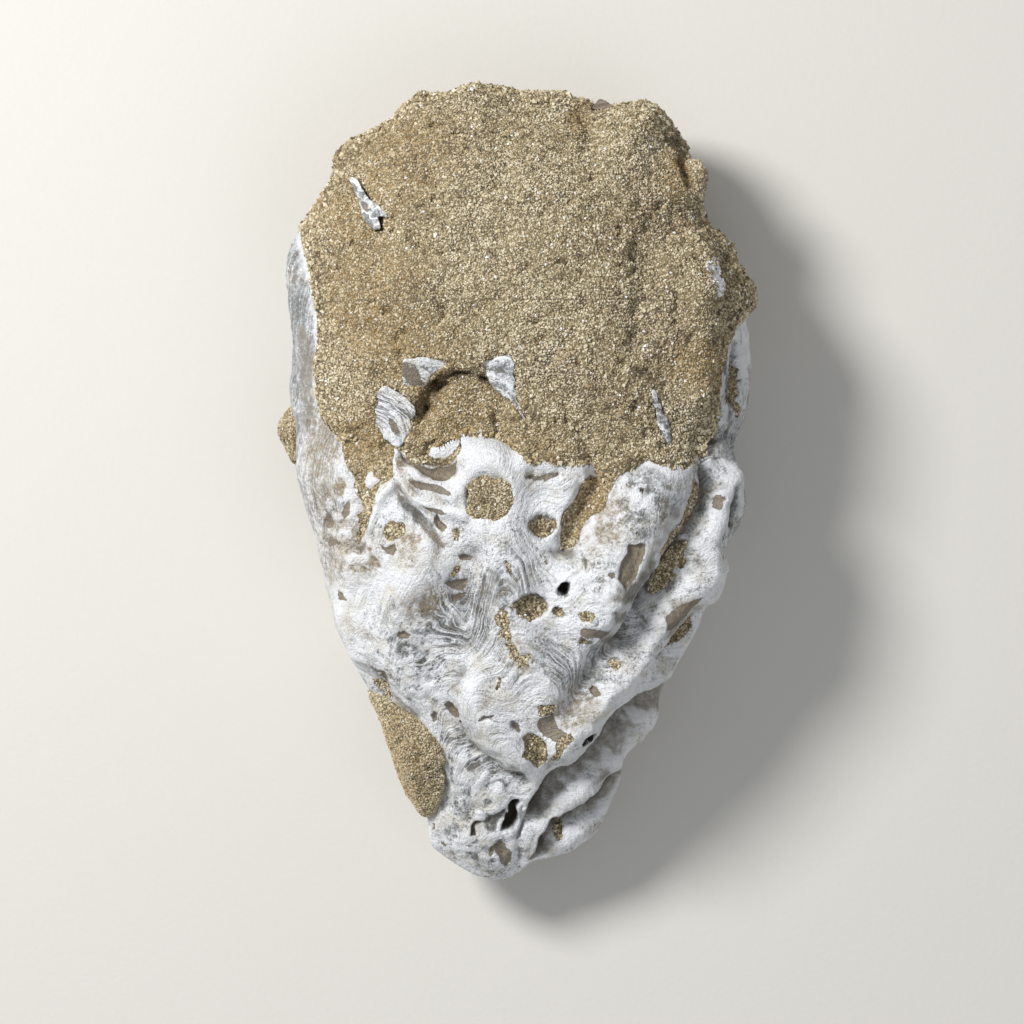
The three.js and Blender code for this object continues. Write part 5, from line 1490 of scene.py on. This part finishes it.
def add_sand(name, places, normals, radius, sink, material, seed, whiteness=1.0):
    """A piece of sand grains, with marks for each grain's tint and the drift it lies in."""
    points, faces, tint = grain_mesh(places, normals, radius, sink, seed)
    points[:, 2] = np.maximum(points[:, 2], 0)
    wobble = cloudy(places, 5)
    # The dark mask is painted shade for grains in shadow.
    rust, pale, dark = (
        spot_mask(places[:, :2], spots, wobble, soft)
        for spots, soft in ((RUSTY_SPOTS, 0.6), (PALE_SPOTS, 0.6), (GRAIN_SHADE_SPOTS, 0.3))
    )
    marks = GrainMarks(tint=np.minimum(whiteness * tint, 1), rust=rust, pale=pale, dark=dark)
    on_corners = {label: np.repeat(values, len(GRAIN_CORNERS)) for label, values in marks._asdict().items()}
    add_piece(name, points, [faces], material, "sandstone", smooth=False, **on_corners)


def add_grains(name, body, keep, sizes, material, seed, share=1.0):
    """Sand grains over the kept part of a body, but none deep in the shell. The share is their size
    and distance over the usual."""
    places, normals = scattered(body, keep, share * sizes.grain_spacing / MM, seed)
    shown = ~inside_shell(places, GRAIN_HIDDEN_DEPTH)
    radius = sizes.grain_radius * share / MM
    add_sand(name, places[shown], normals[shown], radius, GRAIN_SINK, material, seed + 1)


# ---- Settings ---------------------------------------------------------------------------------


def colour_property(name, description, hex_colour):
    """A colour that a user can change, from its sRGB hex value."""
    return FloatVectorProperty(name=name, description=description, default=linear(hex_colour),
                               subtype="COLOR", size=3, min=0, max=1)


def length_property(name, description, millimetres):
    """A length that a user can change, from its value in mm."""
    return FloatProperty(name=name, description=description, default=millimetres * MM, unit="LENGTH",
                         precision=5)


class OysterSizes(bpy.types.PropertyGroup):
    """Sizes of the fossil that a user would change"""

    shell_grid: IntProperty(name="Shell grid", description="Cells across the shell's surface",
                            default=300, min=40, step=8)
    sand_grid: IntProperty(name="Sandstone grid", description="Cells across the sandstone's surface",
                           default=160, min=40, step=8)
    line_spacing: length_property("Growth sheet spacing", "Distance between the shell's growth sheets", 2.3)
    line_height: length_property("Growth sheet height", "How far a growth sheet's edge stands up", 0.42)
    grain_spacing: length_property("Grain spacing", "Distance between sand grains", 0.50)
    grain_radius: length_property("Grain radius", "Mean radius of a sand grain", 0.30)


class OysterColours(bpy.types.PropertyGroup):
    """Colours of the fossil and its board"""

    chalk: colour_property("Chalk", "Weathered white calcite", "#F3F5F9")
    cream_chalk: colour_property("Cream chalk", "White calcite with a trace of clay", "#DDD9CE")
    grey_calcite: colour_property("Grey calcite", "Denser calcite between the ribs", "#A9AEB2")
    dark_calcite: colour_property("Dark calcite", "Translucent calcite over dirt", "#76797A")
    line_grey: colour_property("Line grey", "Dirt along the growth lines", "#6F6C66")
    tan_stain: colour_property("Tan stain", "Clay stain on the shell", "#B3A386")
    # Painted shade: the grey-brown of the bands in shadow under the ledges.
    shade_grey: colour_property("Shade grey", "Worn, dirty calcite under the ledges", "#938E84")
    # Dark dirt colour, also used for painted shade in the shell's hollows and round the edges of its mud.
    crevice: colour_property("Crevice", "Dirt in cracks and hollows", "#5E5548")
    # Painted shade: the shadow at the bottom of the deepest holes and in the cracks.
    hole: colour_property("Hole", "The dark at the bottom of the deepest holes", "#3C362E")
    brown_stone: colour_property("Brown stone", "Ironstone and mud fillings", "#857A6B")
    sand_bed: colour_property("Sand cement", "Clay between the sand grains", "#807358")
    rust_quartz: colour_property("Rusty grains", "Iron-coated grains", "#978566")
    honey_quartz: colour_property("Honey grains", "Stained quartz grains", "#B9AA88")
    clear_quartz: colour_property("Clear grains", "Clear and pale quartz grains", "#DAD0B7")
    iron_stain: colour_property("Iron stain", "Rust over the sand where it is most golden", "#AE905C")
    dark_grain: colour_property("Dark grains", "Dark mineral grains", "#5A4F3F")
    floor: colour_property("Floor", "The board that the fossil lies on", "#D9D7D2")


# ---- Operators --------------------------------------------------------------------------------


class FOSSIL_OT_shell(bpy.types.Operator):
    """Make the oyster shell, with the sand that sticks in its pits"""

    bl_idname = "fossil.shell"
    bl_label = "Oyster shell"

    def execute(self, context):
        sizes, colours = context.scene.oyster_sizes, context.scene.oyster_colours
        body, marks = shell_surface(sizes)
        shell = chalky_shell_material(colours)
        add_piece("shell_surface", body.points, [body.quads, body.tris], shell, "chalky_shell",
                  "oyster_shell", **marks._asdict())
        place_seed, grain_seed = SHELL_SAND_SEEDS
        places, normals = scattered(body, marks.sand > 0.6, sizes.grain_spacing / MM, place_seed)
        shown = buried_depth(places[:, :2]) < GRAIN_SEAM
        add_sand("shell_sand_grains", places[shown], normals[shown], sizes.grain_radius / MM,
                 SHELL_GRAIN_SINK, quartz_sand_material(colours), grain_seed)
        return {"FINISHED"}


class FOSSIL_OT_sandstone(bpy.types.Operator):
    """Make the sandstone, its cement and its grains"""

    bl_idname = "fossil.sandstone"
    bl_label = "Sandstone"

    def execute(self, context):
        sizes, colours = context.scene.oyster_sizes, context.scene.oyster_colours
        body = sandstone_surface(sizes)
        add_piece("sandstone_surface", body.points, [body.quads, body.tris], sand_bed_material(colours),
                  "sandstone", "sandstone_matrix")
        quartz = quartz_sand_material(colours)
        near_half = body.points[:, 1] < SAND_POLE[1]
        top = body.upper & (body.radius < SAND_FINE_SHARE)
        side = ~top & (body.points[:, 2] > LOWEST_GRAIN)
        for seed, (name, kept, share) in enumerate((
            ("sandstone_grains_near", top & near_half, 1.0),
            ("sandstone_grains_far", top & ~near_half, 1.0),
            ("sandstone_grains_rim", side, RIM_GRAIN_SHARE),
        ), start=SANDSTONE_SEED):
            add_grains(name, body, kept, sizes, quartz, seed, share)
        return {"FINISHED"}


class FOSSIL_OT_fillings(bpy.types.Operator):
    """Make the sand that fills the shell's two hollows, the patches on its sides and the pebble"""

    bl_idname = "fossil.fillings"
    bl_label = "Sandstone fillings"

    def execute(self, context):
        sizes, colours = context.scene.oyster_sizes, context.scene.oyster_colours
        cement, quartz = sand_bed_material(colours), quartz_sand_material(colours)
        shell, _ = shell_surface(sizes)
        stones = []
        groove_outline = oval_outline(GROOVE_HOLLOW)
        for name, node, spot, outline, slope in (
            ("centre_filling", "sandstone_centre_plug", CENTRE_HOLLOW, CENTRE_OUTLINE, LEVEL),
            ("groove_filling", "sandstone_groove_plug", GROOVE_HOLLOW, groove_outline, GROOVE_SLOPE),
        ):
            height, _ = plane_over(shell, spot.x, spot.y, FILLING_FIT_REACH)
            body = small_body(outline, height + FILLING_PROUD, FILLING_EDGE_DROP, FILLING_THICKNESS, slope,
                              FILLING_GRID, uneven=FILLING_RAGGEDNESS)
            stones.append(Stone(name, node, body, STONE_LUMPS, 1.0, False))
        patch = domed_body(UMBO_PATCH_RIM, UMBO_PATCH_POLE, UMBO_PATCH_SPINE, squareness=2.2,
                           flat_share=0.3, floor=13, side=UMBO_PATCH_GRID)
        stones.append(Stone("umbo_patch", "sandstone_umbo_patch", patch, UMBO_PATCH_LUMPS,
                            SMALL_GRAIN_SHARE, True))
        lump = domed_body(SIDE_LUMP_RIM, SIDE_LUMP_POLE, SIDE_LUMP_SPINE, squareness=2.0,
                          flat_share=0.1, floor=12, side=SIDE_LUMP_GRID)
        stones.append(Stone("side_lump", "sandstone_side_lump", lump, STONE_LUMPS, SMALL_GRAIN_SHARE, True))
        pebble = small_body(oval_outline(PEBBLE), PEBBLE_TOP, PEBBLE_HALF_HEIGHT, PEBBLE_HALF_HEIGHT, LEVEL,
                            PEBBLE_GRID, squareness=2.0)
        stones.append(Stone("rim_pebble", None, pebble, STONE_LUMPS, SMALL_GRAIN_SHARE, True))
        for number, stone in enumerate(stones):
            body = raised(stone.body, stone.lumps * sand_lumps(stone.body.points))
            add_piece(stone.name, body.points, [body.quads, body.tris], cement, "sandstone", stone.node)
            spacing = stone.fineness * sizes.grain_spacing / MM
            radius = stone.fineness * sizes.grain_radius / MM
            places, normals = scattered(body, body.upper | stone.sides, spacing, FILLING_SEED + number)
            shown = ~inside_shell(places, FILLING_HIDDEN_DEPTH)
            add_sand(stone.name + "_grains", places[shown], normals[shown], radius, GRAIN_SINK, quartz,
                     FILLING_GRAIN_SEED + number)
        return {"FINISHED"}


class FOSSIL_OT_chips(bpy.types.Operator):
    """Make the shell fragments and the ironstone chip that show in the sandstone"""

    bl_idname = "fossil.chips"
    bl_label = "Chips in the sandstone"

    def execute(self, context):
        sizes, colours = context.scene.oyster_sizes, context.scene.oyster_colours
        sandstone = sandstone_surface(sizes, seats=False)
        calcite = chalky_shell_material(colours, "fragment_calcite")
        ironstone = brown_stone_material(colours)
        for chip in CHIPS:
            x, y = np.mean(chip.outline, axis=0)
            level, slope = plane_over(sandstone, x, y, CHIP_FIT_REACH)
            body = small_body(chip.outline, level + chip.proud, CHIP_EDGE_DROP, chip.thickness, slope,
                              CHIP_GRID)
            age = chip.lines * np.hypot(*(body.points[:, :2] - (x - CHIP_AGE_SHIFT, y - CHIP_AGE_SHIFT)).T)
            relief = CHIP_UNEVENNESS * cloudy(body.points, 3)
            relief += lamella_height(age, CHIP_SHEET_SPACING, CHIP_SHEET_HEIGHT, body.points)
            body = raised(body, relief)
            none = np.zeros(len(age))
            mud = spot_mask(body.points[:, :2], CHIP_BROWN_SPOTS, cloudy(body.points, 2), SOFT)
            # raised gives painted shade in the chip's hollows, and lightens what stands proud.
            marks = ShellMarks(*[none] * len(ShellMarks._fields))._replace(
                growth=age, around=3 * body.points[:, 1], brown=0.75 * mud, grey=none + chip.grey,
                white=none + chip.white, speckled=none + 0.15, lined=none + 1,
                raised=standing_proud(relief, body, CHIP_PROUD_ROUNDS, CHIP_PROUD_FULL),
            )
            brown = chip.node == "brown_chip"
            add_piece(chip.node + "_surface", body.points, [body.quads, body.tris],
                      ironstone if brown else calcite, "brown_stone" if brown else "chalky_shell",
                      None if chip.node == LOOSE_CHIP else chip.node, **marks._asdict())
            if chip.node == CRYSTAL_CHIP:
                place_seed, grain_seed = CRYSTAL_SEEDS
                places, normals = scattered(body, body.upper, CRYSTAL_SPACING, place_seed)
                add_sand("flank_crystals", places, normals, CRYSTAL_RADIUS, SHELL_GRAIN_SINK,
                         quartz_sand_material(colours), grain_seed, whiteness=CRYSTAL_WHITENESS)
        return {"FINISHED"}


class FOSSIL_OT_stage(bpy.types.Operator):
    """Make the floor, the lights and the camera that looks straight down"""

    bl_idname = "fossil.stage"
    bl_label = "Floor, lights and camera"

    def execute(self, context):
        scene, colours = context.scene, context.scene.oyster_colours
        corner = np.array([(-1, -1), (1, -1), (1, 1), (-1, 1)]) * FLOOR_HALF
        mesh = bpy.data.meshes.new("floor")
        mesh.from_pydata([(x, y, FLOOR_HEIGHT) for x, y in corner.tolist()], [], [(0, 1, 2, 3)])
        mesh.materials.append(floor_material(colours))
        add_object("floor", mesh)

        for lamp in LAMPS:
            light = bpy.data.lights.new(lamp.name, "AREA")
            light.shape, light.size, light.energy = "DISK", lamp.size, lamp.power
            light.color = lamp.colour
            holder = add_object(lamp.name, light)
            holder.location = lamp.place
            holder.rotation_euler = (-Vector(lamp.place)).to_track_quat("-Z", "Y").to_euler()

        world = bpy.data.worlds.new("studio")
        world.use_nodes = True
        background = world.node_tree.nodes["Background"].inputs
        background["Color"].default_value = (*AMBIENT_COLOUR, 1)
        background["Strength"].default_value = AMBIENT_STRENGTH
        scene.world = world
        scene.view_settings.view_transform = "Standard"

        camera = bpy.data.cameras.new("camera")
        camera.sensor_width = SENSOR_WIDTH
        camera.lens = SENSOR_WIDTH * (CAMERA_HEIGHT - MIDDLE_HEIGHT) / FRAME_WIDTH
        scene.camera = add_object("camera", camera)
        scene.camera.location = (*(np.array(FRAME_CENTRE) * MM).tolist(), CAMERA_HEIGHT * MM)
        return {"FINISHED"}


class FOSSIL_PT_panel(bpy.types.Panel):
    """Lists the fossil's sizes, colours and makers"""

    bl_idname = "FOSSIL_PT_panel"
    bl_label = "Fossil oyster"
    bl_space_type = "VIEW_3D"
    bl_region_type = "UI"
    bl_category = "Fossil"

    def draw(self, context):
        for settings in (context.scene.oyster_sizes, context.scene.oyster_colours):
            box = self.layout.box()
            for name in settings.__annotations__:
                box.prop(settings, name)
        for operator in OPERATORS:
            self.layout.operator(operator.bl_idname)


OPERATORS = (FOSSIL_OT_shell, FOSSIL_OT_sandstone, FOSSIL_OT_fillings, FOSSIL_OT_chips, FOSSIL_OT_stage)
CLASSES = (OysterSizes, OysterColours, *OPERATORS, FOSSIL_PT_panel)


def register():
    for made in CLASSES:
        bpy.utils.register_class(made)
    bpy.types.Scene.oyster_sizes = PointerProperty(type=OysterSizes)
    bpy.types.Scene.oyster_colours = PointerProperty(type=OysterColours)


def unregister():
    del bpy.types.Scene.oyster_sizes
    del bpy.types.Scene.oyster_colours
    for made in reversed(CLASSES):
        bpy.utils.unregister_class(made)


def main():
    register()
    bpy.ops.fossil.shell()
    bpy.ops.fossil.sandstone()
    bpy.ops.fossil.fillings()
    bpy.ops.fossil.chips()
    bpy.ops.fossil.stage()


if __name__ == "__main__":
    main()
